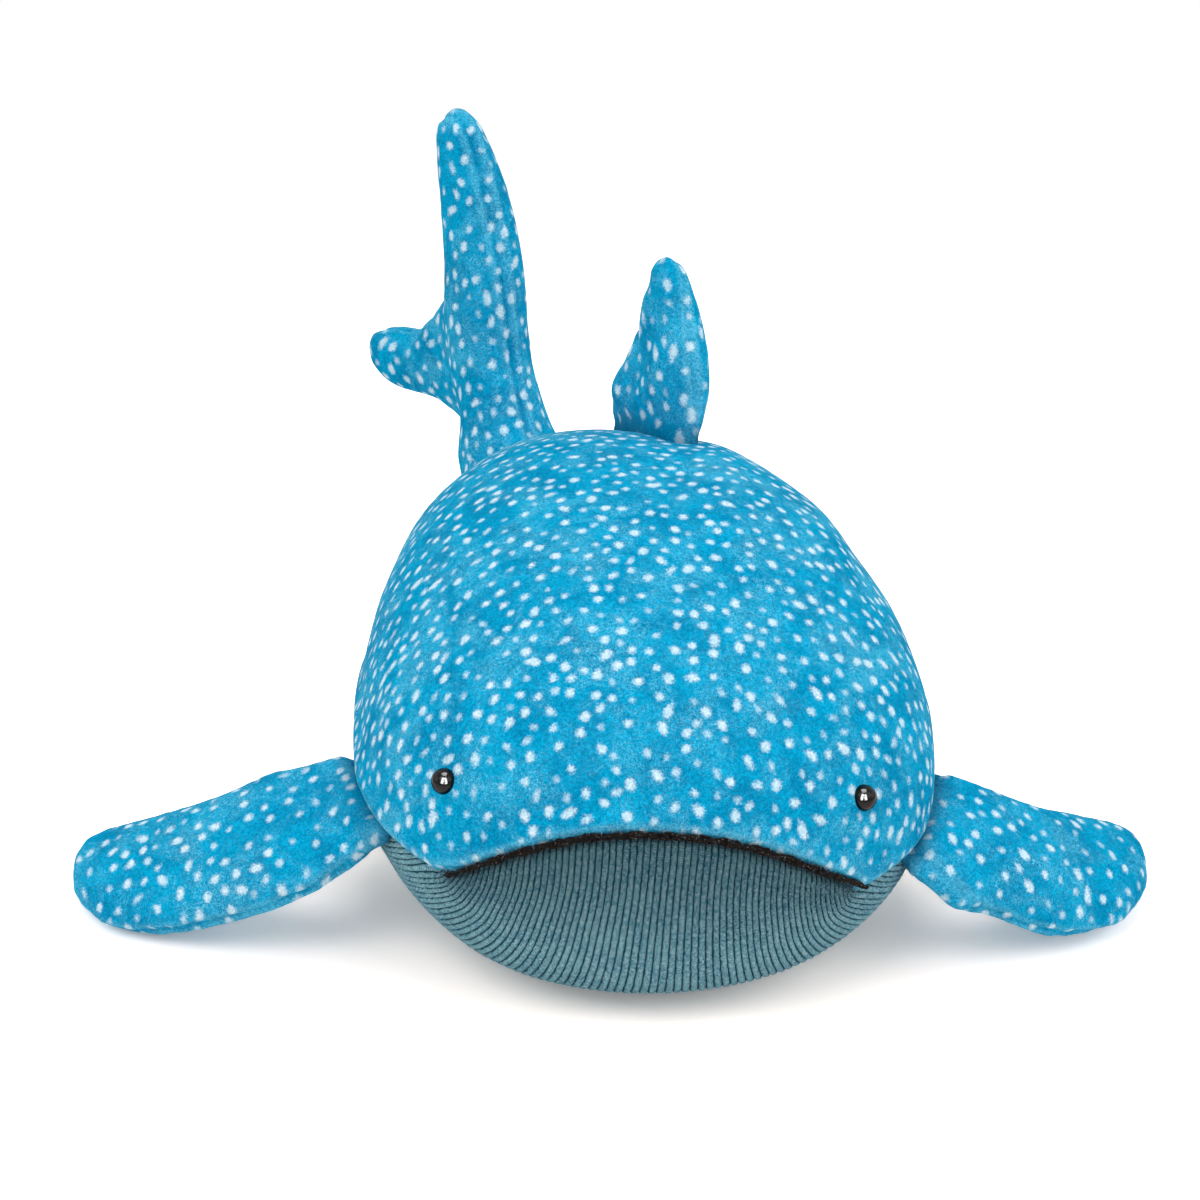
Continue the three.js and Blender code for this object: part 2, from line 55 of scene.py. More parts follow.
bpy.context.scene.view_settings.view_transform = "Standard"

# Camera of the photograph: where it looks, from which side, and its 1200 pixel frame
CAMERA_TARGET = Vector((-0.016, 0.010, 0.1155))
CAMERA_AZIMUTH = math.radians(-3.0)
CAMERA_ELEVATION = math.radians(27.0)
CAMERA_ROLL = math.radians(2.0)
CAMERA_DISTANCE = 1.65
CAMERA_FOCAL_PIXELS = 4110
FRAME_PIXELS = 1200

# Stuffing: cell size of the remeshed skins, pressure, and how far a skin may swell
BODY_NODES = ("back_panel", "belly_panel", "body_filling", "left_eye_washer", "right_eye_washer")
BODY_VOXEL = 0.0045
BODY_SMOOTHING = 30
BODY_PRESSURE = 2.0
BODY_SWELLING = 0.004
LIMB_VOXEL = 0.0030
BACK_FIN_VOXEL = 0.0024
LIMB_SHRINK = 0.0010
LIMB_PRESSURE = 3.0
LIMB_SWELLING = 0.003
LIMB_HOLD = 0.85
CLOTH_FRAMES = 20

# Uneven stuffing of the body: how far it bulges, rises or widens in each zone
LEFT_BULGE = 0.0028
RIGHT_BULGE = 0.0027
REAR_RIGHT_BULGE = 0.0015
REAR_RIGHT_RISE = 0.0012
UPPER_LEFT_RISE = 0.0046
OUTER_LEFT_SAG = 0.0014
CHEEK_BULGE = 0.0026
BASE_WIDER_LEFT = 0.05
BASE_WIDER_RIGHT = 0.004
BASE_LONGER = 0.068

# Seams of the body's panels, with grooves and rolls as height, distance from the seam, width
PANEL_STEP = 0.0019
BACK_COLUMNS = 190
BACK_FAN_ROWS = 20
SEAM_TURN_IN = 0.0045
BACK_GROOVE = (-0.0022, 0, 0.0019)
BACK_ROLL = (0.0008, 0.005, 0.004)
BELLY_GROOVE = (-0.0022, 0, 0.0030)
BELLY_UNDER_LIP = (-0.0011, 0, 0.008)
PALE_RIM_AWAY = 0.0035

# Seams of the limbs, with groove, ridge and pucker as height, distance from the seam, width
LIMB_GROOVE = (-0.0019, 0, 0.0017)
LIMB_RIDGE = (0.0008, 0.0036, 0.0016)
LIMB_PUCKER = (0.0004, 0, 0.008)
PUCKER_SIZE = 0.006
SLACK_SEAM_AWAY = 0.0028
FLOOR_GAP = 0.0003

# Roots of the limbs, where they are sewn to the body
ROOT_REACH = 0.0045
ROOT_DEPTH = 0.010
# How far the painted shade at a limb's root reaches
ROOT_SHADE_WIDTH = 0.012
SIDE_FIN_REACH = 0.012
CORNER_RADIUS = 0.0032
CUBE_CORNERS = np.array([(x, y, z) for x in (-1, 1) for y in (-1, 1) for z in (-1, 1)])
GATHER_LENGTH = 0.0052
GATHER_DEPTH = 0.0005
ROOT_DENT = 0.0010

# Edges of the side fins, moved out along the chord, as pairs of reach to the tip and metres
REAR_EDGE = {
    "right": ((0, 0.0080), (0.15, 0.0085), (0.27, 0.0078), (0.40, 0.0060), (0.55, 0.0030),
              (0.68, 0.0022), (0.80, 0.0042), (0.92, 0.0076), (1, 0.0040)),
    "left": ((0, 0.0010), (0.10, 0.0008), (0.32, 0.0002), (0.42, 0.0010), (0.52, 0.0008),
             (0.62, 0.0008), (0.70, 0.0030), (0.77, 0.0060), (0.92, 0.0110), (1, 0.0060)),
}
FRONT_EDGE = {
    "right": ((0, 0.0042), (0.10, 0.0012), (0.22, -0.0018), (0.40, -0.0012), (0.55, 0.0008),
              (0.69, 0.0034), (0.78, 0.0052), (0.87, 0.0100), (0.95, 0.0146), (1, 0.0170)),
    "left": ((0, 0.0140), (0.10, 0.0100), (0.18, -0.0008), (0.265, -0.0032), (0.335, -0.0012),
             (0.42, 0.0026), (0.50, 0.0040), (0.62, 0.0054), (0.735, 0.0080), (0.82, 0.0108),
             (0.91, 0.0150), (1, 0.0176)),
}
TIP_DROP = 0.0085
TIP_STRETCH = 0.0024
# Where a side fin is stuffed fuller: a place, how far it swells there, and how wide
FIN_FULLER = {
    "right": (((-0.2150, -0.046, 0.008), (-0.0044, -0.0036, 0), 0.020),),
    "left": (((0.1990, -0.045, 0.008), (0.0046, -0.0040, 0), 0.020),
             ((0.1530, -0.083, 0.027), (-0.0005, -0.0048, -0.0012), 0.013)),
}
FIN_CORNERS = {
    "right": ((-0.1008, -0.0884, 0.0635), (-0.1142, -0.0375, 0.0675)),
    "left": ((0.1030, -0.0860, 0.0515), (0.1165, -0.0444, 0.0645)),
}

# Back fin: corners of its root, folds from place to place, and dents, each with depth and width
BACK_FIN_CORNERS = ((0.0225, 0.0765, 0.1565), (0.0175, 0.0740, 0.1550))
BACK_FIN_FOLDS = (
    ((0.007, 0.090, 0.204), (-0.004, 0.098, 0.170), 0.0032, 0.0060),
    ((0.000, 0.110, 0.196), (-0.002, 0.104, 0.186), 0.0026, 0.0050),
)
BACK_FIN_DENTS = (
    ((-0.006, 0.110, 0.163), -0.0036, 0.009),
    ((0.001, 0.100, 0.215), 0.0018, 0.006),
    ((0.019, 0.076, 0.178), -0.0014, 0.012),
)

# Mouth and side seams, as pairs of place along Y and height
MOUTH_STEPS = 81
MOUTH_BEND = 2.15
MOUTH_SHIFT = 0.0034
MOUTH_WIDENING = 0.0011
MOUTH_TILT = 0.046
SIDE_SEAM = ((-0.114, 0.0570), (-0.090, 0.0580), (-0.010, 0.0645), (0.110, 0.062), (0.195, 0.060))
SPINE_DRIFT = ((-0.030, 0.0), (0.060, -0.006), (0.160, -0.022), (0.195, -0.031))
HOOP_RAYS = 361

# Tail: rows of height, middle, and how far the front and the back edge move
TAIL_HINGE = Vector((-0.031, 0.195, 0.060))
TAIL_ROWS = (
    (0.060, -0.031, 0, 0.001), (0.085, -0.046, -0.0040, 0.0062), (0.096, -0.052, -0.0028, 0.0040),
    (0.110, -0.055, -0.0012, 0.0020), (0.125, -0.058, 0.0006, 0), (0.137, -0.060, 0.0015, 0),
    (0.152, -0.061, 0.0026, 0.001), (0.168, -0.061, 0.0031, 0.0008), (0.184, -0.0625, 0.0024, 0.0004),
    (0.199, -0.066, 0.001, 0), (0.212, -0.0695, -0.0022, -0.001), (0.224, -0.073, -0.004, -0.002),
)
LOWER_LOBE_TOP = 0.125
FORK = (-0.080, 0.283, 0.118)
FORK_REACH = 0.030
FORK_SMOOTHING = 90
FORK_WEB = ((-0.0775, 0.276, 0.130), (-0.088, 0.284, 0.112), (-0.075, 0.280, 0.110))
FORK_WEB_RADIUS = 0.0045
BALL_RADIUS = 0.035
COLLAR_RADIUS = 0.0365

# Eyes: the bead, how it sits, and the dent and the swell beside it as way outwards, depth, width
BEAD_RADIUS = 0.0052
BEAD_BULGE = 0.0055
BEAD_BACK = -0.0016
BEAD_BACK_WIDTH = 0.85
EYE_SINKING = 0.0020
EYE_OUTWARDS = 0.0018
EYE_RISE = 0.0007
EYE_CUSHION = ((0.0030, 0.0008, 0.0085), (-0.0048, -0.0043, 0.0042))

# Yarn of the mouth
YARN_RADIUS = 0.0015
YARN_STEPS = 560
YARN_SIDES = 22
YARN_TURN = 0.026
YARN_SWAY = (0.0007, 0.00035)
YARN_SWAY_LENGTHS = (0.014, 0.004)
YARN_THINNEST = 0.00098
YARN_STRANDS = 0.00078
YARN_LUMPS = 0.00052
YARN_LUMP_LENGTH = 0.0016
YARN_END = 0.0022
YARN_TAPER = 0.034

# Loose fibres
YARN_FIBRES = 420
YARN_FIBRE_LENGTHS = (0.0008, 0.0021)
RIM_FIBRES = 900
RIM_FIBRE_LENGTHS = (0.0008, 0.0019)
FIBRE_RADIUS = 0.00010

# Ribbed knit
BELLY_FAN_ROWS = 46
BELLY_FRONT_STEP = 0.0021
BELLY_REAR_STEP = 0.0038
RIBS_BESIDE_MIDDLE = 36
MORE_RIBS_BEHIND = 14
RIBS_ACROSS_BELLY = 106
RIB_POINTS = 5
RIB_WIDEST = 0.00305
RIB_NARROWEST = 0.0024
RIB_BUNCHING = 0.14
RIB_DEPTH = 0.0010
RIB_PROFILE = (0.0, 0.78, 1.0, 1.0, 0.78)
RIB_EASING = 160
RIB_EASED_ROWS = 22
STITCH_LENGTH = 0.00095

# White dots of the pile fabric
BODY_DOT_SPACING = 0.0078
LIMB_DOT_SPACING = 0.0083
DOT_RADIUS = 0.00146
DOT_GAPS = (0.66, 1.2)
DOT_SIZES = (0.68, 1.2)
DOT_NARROWING = (0.12, 0.54)

# Colours. A pair runs from where its mask is 0 to where it is 1.
PILE_DEEP = (0.0, 0.185, 0.375, 1), (0.0, 0.255, 0.485, 1)
PILE_LIGHT = (0.0, 0.345, 0.615, 1), (0.0, 0.455, 0.750, 1)
# Painted shade in the grooves along the seams
PAINTED_SEAM_SHADE = (0.0, 0.090, 0.20, 1)
PILE_TIPS = (0.24, 0.73, 0.90, 1)
# Painted sheen: the pile turns paler where its surface is seen at a graze
PAINTED_EDGE_SHEEN = (0.10, 0.43, 0.63, 1)
# Painted shade where a limb meets the body
PAINTED_ROOT_SHADE = (0.0, 0.080, 0.175, 1)
DOT_WHITE = (0.46, 0.73, 0.86, 1), (0.79, 0.91, 0.96, 1)
KNIT_BLUE = (0.090, 0.285, 0.385, 1), (0.165, 0.410, 0.460, 1)
KNIT_FUZZ = (0.42, 0.72, 0.79, 1)
KNIT_SPECKS = (0.72, 0.90, 0.93, 1)
# Painted shade in the grooves between the ribs, also used for the darker gaps between stitches
KNIT_GROOVE_SHADE_AND_STITCH_GAPS = (0.008, 0.047, 0.074, 1)
# Painted shade under the lip of the mouth
PAINTED_SHADE_UNDER_LIP = (0.004, 0.016, 0.025, 1)
YARN_BLACK = (0.0025, 0.0022, 0.0025, 1), (0.024, 0.020, 0.018, 1)
YARN_FLECKS = (0.30, 0.28, 0.26, 1)
BEAD_BLACK = (0.0012, 0.0011, 0.0012)
WASHER_WHITE = (0.75, 0.75, 0.72)
WHITE = (1, 1, 1, 1)

# Light: lamps as name, place, size, watts, and whether only gloss shows them
WORLD_LIGHT = 0.60
FLOOR_SIZE = 12
FLOOR_BOUNCE = 0.90
FLOOR_BRIGHTNESS = 1.55
FLOOR_GLOW = 0.13
FLOOR_WARMTH = (1.0, 0.890, 0.840, 1)
FLOOR_FADE = (0.40, 0.9)
LAMP_AIM = Vector((0, 0, 0.06))
LAMPS = (
    ("key", (-0.9, -1.1, 1.7), (1.1, 1.1), 12.5, False),
    ("fill", (1.2, -0.9, 1.3), (1.2, 1.2), 8.5, False),
    ("top", (0.0, 0.25, 1.9), (0.7, 0.7), 9, False),
    ("beside_right", (-1.7, -0.3, 0.8), (0.9, 0.9), 3.5, False),
    ("beside_left", (1.7, -0.1, 0.8), (0.9, 0.9), 3, False),
    ("window_right", (-0.570, -1.656, 1.197), (0.75, 2.0), 300, True),
    ("window_left", (0.403, -1.707, 1.197), (0.75, 2.0), 300, True),
    ("window_top", (0.0, 0.0, 1.9), (1.1, 1.1), 70, True),
)


# Small tools of the bench


def select_only(*objects):
    bpy.ops.object.select_all(action="DESELECT")
    for one in objects:
        one.select_set(True)
    bpy.context.view_layer.objects.active = objects[0]


def started_from(name, add, **values):
    """A new piece that starts as a primitive."""
    bpy.ops.object.select_all(action="DESELECT")
    add(**values)
    piece = bpy.context.object
    piece.name = name
    return piece


def new_object(name, data):
    piece = bpy.data.objects.new(name, data)
    bpy.context.scene.collection.objects.link(piece)
    return piece


def joined(*pieces):
    select_only(*pieces)
    bpy.ops.object.join()
    return pieces[0]


def apply_modifier(piece, kind, **values):
    modifier = piece.modifiers.new(kind.title(), kind)
    for name, value in values.items():
        setattr(modifier, name, value)
    select_only(piece)
    bpy.ops.object.modifier_apply(modifier=modifier.name)


def smooth(piece, rounds, **values):
    apply_modifier(piece, "SMOOTH", factor=0.5, iterations=rounds, **values)


def subdivide(piece):
    apply_modifier(piece, "SUBSURF", levels=1, render_levels=1)


def smooth_shading(piece):
    select_only(piece)
    bpy.ops.object.shade_smooth()


def in_edit_mode(piece, *steps):
    select_only(piece)
    bpy.ops.object.mode_set(mode="EDIT")
    bpy.ops.mesh.select_all(action="SELECT")
    for step in steps:
        step()
    bpy.ops.object.mode_set(mode="OBJECT")


def merge_points(piece, apart):
    in_edit_mode(piece, lambda: bpy.ops.mesh.remove_doubles(threshold=apart))


def close_tubes(piece):
    """Merges the ends and the long seam of tubes, and turns their faces outwards."""
    merge_points(piece, 2e-6)
    in_edit_mode(piece, lambda: bpy.ops.mesh.normals_make_consistent(inside=False))


def copy_of(name, *nodes):
    """CAD nodes as one new object with merged points."""
    piece = joined(*[new_object(name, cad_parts[node].data.copy()) for node in nodes])
    piece.data.materials.clear()
    merge_points(piece, 1e-6)
    return piece


def read(items, name, width=1, kind=float):
    """One property of all points, faces or corners, a row for each."""
    flat = np.empty(width * len(items), kind)
    items.foreach_get(name, flat)
    return flat.reshape(-1, width) if width > 1 else flat


def points_of(piece):
    return read(piece.data.vertices, "co", 3)


def normals_of(piece):
    return read(piece.data.vertex_normals, "vector", 3)


def corner_points(mesh):
    return read(mesh.loops, "vertex_index", kind=np.int32)


def move_points(piece, points):
    piece.data.vertices.foreach_set("co", np.asarray(points, float).ravel())
    piece.data.update()


def mark(piece, name, values, kind="FLOAT", domain="POINT"):
    """Keeps a value on each point or corner of a piece, for its finish."""
    attribute = piece.data.attributes.new(name, kind, domain)
    field = "value" if kind == "FLOAT" else "vector"
    attribute.data.foreach_set(field, np.asarray(values, float).ravel())


def tree_of(piece):
    return BVHTree.FromObject(piece, bpy.context.evaluated_depsgraph_get())


def node_tree(node):
    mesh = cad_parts[node].data
    return BVHTree.FromPolygons([v.co for v in mesh.vertices], [p.vertices for p in mesh.polygons])


def distances(points, tree):
    """How far each point is from a skin."""
    return np.array([tree.find_nearest(p)[3] for p in points])


def tree_of_places(places):
    tree = kdtree.KDTree(len(places))
    for i, place in enumerate(places):
        tree.insert(place, i)
    tree.balance()
    return tree


def smooth_noise(points, size, seed):
    """Soft noise from -1 to 1 over points, with lumps of a size."""
    shift = Vector((seed, 2 * seed, 3 * seed))
    return np.array([noise.noise(Vector(p) / size + shift) for p in points])


def ease(values, low, high):
    share = np.clip((np.asarray(values) - low) / (high - low), 0, 1)
    return share * share * (3 - 2 * share)


def bell(away, size):
    """A round hill, 1 in its middle and nearly 0 at twice its size."""
    return np.exp(-((away / size) ** 2))


def roll(away, height, middle, width):
    """A roll, or a groove with a negative height, that runs along a seam at a distance from it."""
    return height * bell(away - middle, width)


def zone(points, **fades):
    """A share for each point, from fades along the axes, each from where it is 0 to where it is 1."""
    share = 1
    for axis, (none, full) in fades.items():
        share = share * ease(points[:, "xyz".index(axis)], none, full)
    return share


def unit(vectors):
    return vectors / np.maximum(np.linalg.norm(vectors, axis=-1, keepdims=True), 1e-9)


def press(points, normals, place, depth, size):
    """Presses a soft dent in at a place, or lifts a bulge with a negative depth."""
    away = np.linalg.norm(points - np.array(place), axis=1)
    return points - normals * (depth * bell(away, size))[:, None]


def fold(points, normals, start, end, depth, width):
    """Presses a fold in along a line."""
    start, end = np.array(start), np.array(end)
    way = end - start
    share = np.clip((points - start) @ way / (way @ way), 0, 1)
    away = np.linalg.norm(points - start - share[:, None] * way, axis=1)
    return points - normals * (depth * bell(away, width))[:, None]


def swell(piece, pressure, cap):
    """Blows a closed skin up from inside as stuffing does, and lets no point move past the cap."""
    before = points_of(piece)
    cloth = piece.modifiers.new("Stuffing", "CLOTH")
    cloth.settings.quality = 5
    cloth.settings.use_pressure = True
    cloth.settings.uniform_pressure_force = pressure
    cloth.settings.effector_weights.gravity = 0
    cloth.point_cache.frame_end = CLOTH_FRAMES
    for step in range(1, CLOTH_FRAMES + 1):
        bpy.context.scene.frame_set(step)
    select_only(piece)
    bpy.ops.object.modifier_apply(modifier=cloth.name)
    bpy.context.scene.frame_set(1)
    moved = points_of(piece) - before
    length = np.linalg.norm(moved, axis=1, keepdims=True)
    move_points(piece, before + moved * np.minimum(1, cap / np.maximum(length, 1e-9)))


# The body's form, which both panels are laid over


def stuff_unevenly(piece):
    """The body is a little fuller on its left, and its back leans over that way."""
    points = points_of(piece)
    left = zone(points, x=(0.03, 0.10), y=(-0.105, -0.065))
    right = zone(points, x=(-0.02, -0.09), z=(0.068, 0.084), y=(-0.09, -0.03))
    rear_right = zone(points, x=(-0.02, -0.07), z=(0.090, 0.120), y=(0.045, 0.085))
    upper_left = zone(points, x=(0.010, 0.04), z=(0.09, 0.13), y=(-0.05, 0.02))
    outer_left = zone(points, x=(0.070, 0.090), z=(0.100, 0.125), y=(-0.06, 0.0))
    cheek = zone(points, x=(-0.04, -0.08), z=(0.002, 0.034), y=(0.04, -0.02))
    cheek = cheek * zone(points, z=(0.060, 0.044))
    base = zone(points, z=(0.050, 0.0))
    front = zone(points, y=(0.02, -0.06))
    wider = np.where(points[:, 0] > 0, BASE_WIDER_LEFT, BASE_WIDER_RIGHT)
    points[:, 0] += LEFT_BULGE * left + RIGHT_BULGE * right * (1 - rear_right)
    points[:, 0] += REAR_RIGHT_BULGE * rear_right - OUTER_LEFT_SAG * outer_left + CHEEK_BULGE * cheek
    points[:, 2] += UPPER_LEFT_RISE * upper_left * (1 - 0.6 * outer_left) + REAR_RIGHT_RISE * rear_right
    points[:, 0] *= 1 + wider * base
    points[:, 1] *= 1 + BASE_LONGER * base * front
    move_points(piece, points)


def eye_axis(side):
    """The centre of an eye's flat back, and the tip of its bead."""
    eye, washer = [np.array([v.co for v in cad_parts[node].data.vertices])
                   for node in (f"{side}_eye", f"{side}_eye_washer")]
    middle = (washer.min(0) + washer.max(0)) / 2
    return middle, eye[np.argmax(np.linalg.norm(eye - middle, axis=1))]


def eye_sideways(side):
    """The way along the skin from an eye to the outer side of the head."""
    middle, tip = eye_axis(side)
    hand = 1 if side == "left" else -1
    return hand * unit(np.cross((0, 0, 1), tip - middle))


def draw_in_eyes(piece):
    """Each eye's washer pulls the skin in a little, and the skin swells on the inner side."""
    for side in ("left", "right"):
        tip = eye_axis(side)[1]
        points, normals = points_of(piece), normals_of(piece)
        for outwards, depth, width in EYE_CUSHION:
            points = press(points, normals, tip + outwards * eye_sideways(side), depth, width)
        move_points(piece, points)


def body_form():
    """A soft closed form over the body's solids: remeshed, its facets rubbed away, then swollen."""
    piece = copy_of("body_form", *BODY_NODES)
    apply_modifier(piece, "REMESH", mode="VOXEL", voxel_size=BODY_VOXEL)
    smooth(piece, BODY_SMOOTHING)
    swell(piece, BODY_PRESSURE, BODY_SWELLING)
    smooth(piece, 3)
    stuff_unevenly(piece)
    subdivide(piece)
    draw_in_eyes(piece)
    return piece


# Hoops: curves over the body from the left seam to the right one


def hoop(tree, origin, slants, turns, tilt):
    """Where rays from an origin meet the skin, one for each turn across and slant up."""
    tilted = Matrix.Rotation(tilt, 3, "Y")
    points, normals = [], []
    for turn, slant in zip(turns, slants):
        level, forward = math.sin(turn), math.cos(turn)
        way = Vector((level, -forward * math.cos(slant), forward * math.sin(slant)))
        hit, normal, _, _ = tree.ray_cast(origin, tilted @ way)
        points.append(hit)
        normals.append(normal)
    return np.array(points), np.array(normals)


def lengths_along(points):
    steps = np.linalg.norm(np.diff(points, axis=0), axis=1)
    return np.concatenate([[0], np.cumsum(steps)])


def at_lengths(lengths, values, wanted):
    return np.stack([np.interp(wanted, lengths, values[:, i]) for i in range(3)], axis=1)


def laid_along(hoops, columns_of):
    """Points and normals of a panel, at the lengths along each hoop where its columns lie."""
    points, normals = [], []
    for row, (hoop_points, hoop_normals) in enumerate(hoops):
        lengths = lengths_along(hoop_points)
        wanted = columns_of(row, lengths[-1])
        points.append(at_lengths(lengths, hoop_points, wanted))
        normals.append(unit(at_lengths(lengths, hoop_normals, wanted)))
    return np.array(points), np.array(normals)


def mouth_line(tree):
    """Points of the mouth seam on the skin, from the right corner to the left one."""
    low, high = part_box("mouth_yarn")
    half_width = high.x - YARN_RADIUS + MOUTH_WIDENING
    top = high.z - YARN_RADIUS
    rise = top - low.z - YARN_RADIUS + MOUTH_WIDENING
    line = []
    for x in np.linspace(-half_width, half_width, MOUTH_STEPS):
        height = top - rise * abs(x / half_width) ** MOUTH_BEND - MOUTH_TILT * x
        hit, _, _, _ = tree.ray_cast(Vector((x + MOUTH_SHIFT, -0.03, height)), Vector((0, -1, 0)))
        line.append(hit)
    return np.array(line)


def mouth_slants(line, origin, turns):
    """The slant at which each turn from the origin meets the mouth seam."""
    apart = (line - np.array(origin)) @ np.array(Matrix.Rotation(MOUTH_TILT, 3, "Y"))
    forward = np.hypot(apart[:, 1], apart[:, 2])
    turn = np.arctan2(apart[:, 0], forward)
    slant = np.arctan2(apart[:, 2], -apart[:, 1])
    inner = slice(3, -3)
    return np.interp(turns, turn[inner], slant[inner])


def upright_stations(first, near_step, far_step):
    """Places along Y from behind the mouth to the tail, with steps that grow evenly."""
    last = TAIL_HINGE.y + 0.8 * BALL_RADIUS
    stations, y = [], first
    while y < last:
        stations.append(y)
        y += near_step + (far_step - near_step) * (y - first) / (last - first)
    return stations


def panel_hoops(tree, upwards, fan_rows, near_step, far_step):
    """Hoops of one panel: a fan back from the mouth seam, then upright ones at stations along Y."""
    line = mouth_line(tree)
    corner = (line[0] + line[-1]) / 2
    origin = Vector(corner)
    turns = np.linspace(-math.pi / 2, math.pi / 2, HOOP_RAYS)
    at_mouth = mouth_slants(line, origin, turns)
    upright = math.pi / 2 if upwards else -math.pi / 2
    hoops = []
    for row in range(fan_rows):
        slants = at_mouth + (upright - at_mouth) * row / fan_rows
        hoops.append(hoop(tree, origin, slants, turns, MOUTH_TILT))
    seam_places, seam_heights = np.array(SIDE_SEAM).T
    drift_places, drifts = np.array(SPINE_DRIFT).T
    lower = corner[2] - np.interp(corner[1], seam_places, seam_heights)
    stations = upright_stations(corner[1] + near_step / 2, near_step, far_step)
    for y in stations:
        aside = np.interp(y, drift_places, drifts) + corner[0] * (1 - ease(y, -0.080, -0.010))
        height = np.interp(y, seam_places, seam_heights)
        height = height + lower * (1 - ease(y, corner[1], corner[1] + 0.025))
        tilt = float(MOUTH_TILT * (1 - ease(y, -0.030, 0.100)))
        hoops.append(hoop(tree, Vector((aside, y, height)), np.full(HOOP_RAYS, upright), turns, tilt))
    return hoops, stations


def eased_rows(points, away, turn_row, tree):
    """Rubs the bend out of the ribs where the fan meets the upright rows, but not at the seam."""
    near_turn = 1 - ease(np.abs(np.arange(len(points)) - turn_row), 0, RIB_EASED_ROWS)
    share = (near_turn[:, None] * ease(away, 0.0005, 0.012))[1:-1, :, None]
    for _ in range(RIB_EASING):
        between = (points[:-2] + points[2:]) / 2
        points[1:-1] += 0.5 * share * (between - points[1:-1])
    for row in range(turn_row - RIB_EASED_ROWS, turn_row + RIB_EASED_ROWS):
        points[row] = [tree.find_nearest(p)[0] for p in points[row]]
    return points


# Cloth, yarn and loose fibres as grids of points


def cloth_grid(name, points, uvs=None):
    """A sheet of cloth with its points at a grid of places, and its own UV map."""
    rows, columns = points.shape[:2]
    piece = started_from(name, bpy.ops.mesh.primitive_grid_add,
                         x_subdivisions=columns - 1, y_subdivisions=rows - 1, size=1)
    flat = points_of(piece)
    column = np.rint((flat[:, 0] + 0.5) * (columns - 1)).astype(int)
    row = np.rint((flat[:, 1] + 0.5) * (rows - 1)).astype(int)
    move_points(piece, points[row, column])
    if uvs is None:
        uvs = np.zeros((rows, columns, 2))
    places = uvs[row, column][corner_points(piece.data)]
    piece.data.uv_layers[0].data.foreach_set("uv", places.ravel())
    return piece


def loose_fibres(roots, ways, lengths, seed):
    """Short bent fibres that stand off a yarn or a pile, as one object."""
    random = np.random.default_rng(seed)
    share = np.linspace(0, 1, 5)[:, None]
    thick = FIBRE_RADIUS * np.array((0, 1, 0.8, 0.5, 0))[:, None, None]
    angle = np.linspace(0, 2 * math.pi, 4)[:, None]
    order = np.stack(np.meshgrid(np.arange(5), np.arange(4), [0], indexing="ij"), axis=-1)[:, :, 0]
    first = cloth_grid("fibre", order.astype(float))
    row, column = np.rint(points_of(first)[:, :2].T).astype(int)
    fibres = []
    for root, way in zip(roots, ways):
        bend = 0.45 * random.normal(size=3)
        path = root + random.uniform(*lengths) * (way * share + bend * share ** 2)
        across = unit(np.cross(way, (0.31, 0.90, 0.13)))
        over = np.cross(way, across)
        tube = path[:, None] + thick * (np.cos(angle) * across + np.sin(angle) * over)[None]
        fibre = new_object("fibre", first.data.copy())
        move_points(fibre, tube[row, column])
        fibres.append(fibre)
    bpy.data.objects.remove(first)
    piece = joined(*fibres)
    close_tubes(piece)
    return piece


def rim_fibres(points, normals, seed):
    """Pile that hangs over the mouth seam, rooted in the front rows of the back panel."""
    random = np.random.default_rng(seed)
    rows = random.integers(0, 4, RIM_FIBRES)
    columns = random.uniform(1, points.shape[1] - 3, RIM_FIBRES)
    first = columns.astype(int)
    part = (columns - first)[:, None]
    roots = points[rows, first] * (1 - part) + points[rows, first + 1] * part
    outwards = normals[rows, first]
    down = unit(points[0, first] - points[6, first])
    ways = unit(0.55 * outwards + 0.75 * down + 0.30 * random.normal(size=outwards.shape))
    return loose_fibres(roots, ways, RIM_FIBRE_LENGTHS, seed + 1)


def face_outwards(piece):
    points, normals = points_of(piece), normals_of(piece)
    if np.sum((points - points.mean(axis=0)) * normals) < 0:
        in_edit_mode(piece, bpy.ops.mesh.flip_normals)


def turned_in(points, normals):
    """Adds the seam allowance: two columns at the sides and two rows at the front, turned inwards."""
    deep, half = SEAM_TURN_IN, SEAM_TURN_IN / 2
    left = [points[:, :1] - normals[:, :1] * depth for depth in (deep, half)]
    right = [points[:, -1:] - normals[:, -1:] * depth for depth in (half, deep)]
    wide = np.concatenate([*left, points, *right], axis=1)
    broad = np.pad(normals, ((0, 0), (2, 2), (0, 0)), mode="edge")
    front = [wide[:1] - broad[:1] * depth for depth in (deep, half)]
    return np.concatenate([*front, wide], axis=0)


def panel_edges(points):
    """The mouth seam and both side seams of a panel."""
    return np.concatenate([points[0], points[:, 0], points[:, -1]])


def seam_distance(points, seam):
    """Distance from each point of a grid to the nearest point of the seam."""
    tree = tree_of_places(seam)
    return np.array([tree.find(p)[2] for p in points.reshape(-1, 3)]).reshape(points.shape[:2])


def sewn_panel(name, points, normals, uvs=None):
    """A panel of the body with its seam allowance, right side out."""
    if uvs is not None:
        uvs = np.pad(uvs, ((2, 0), (2, 2), (0, 0)), mode="edge")
    piece = cloth_grid(name, turned_in(points, normals), uvs)
    merge_points(piece, 2e-5)
    face_outwards(piece)
    smooth_shading(piece)
    return piece


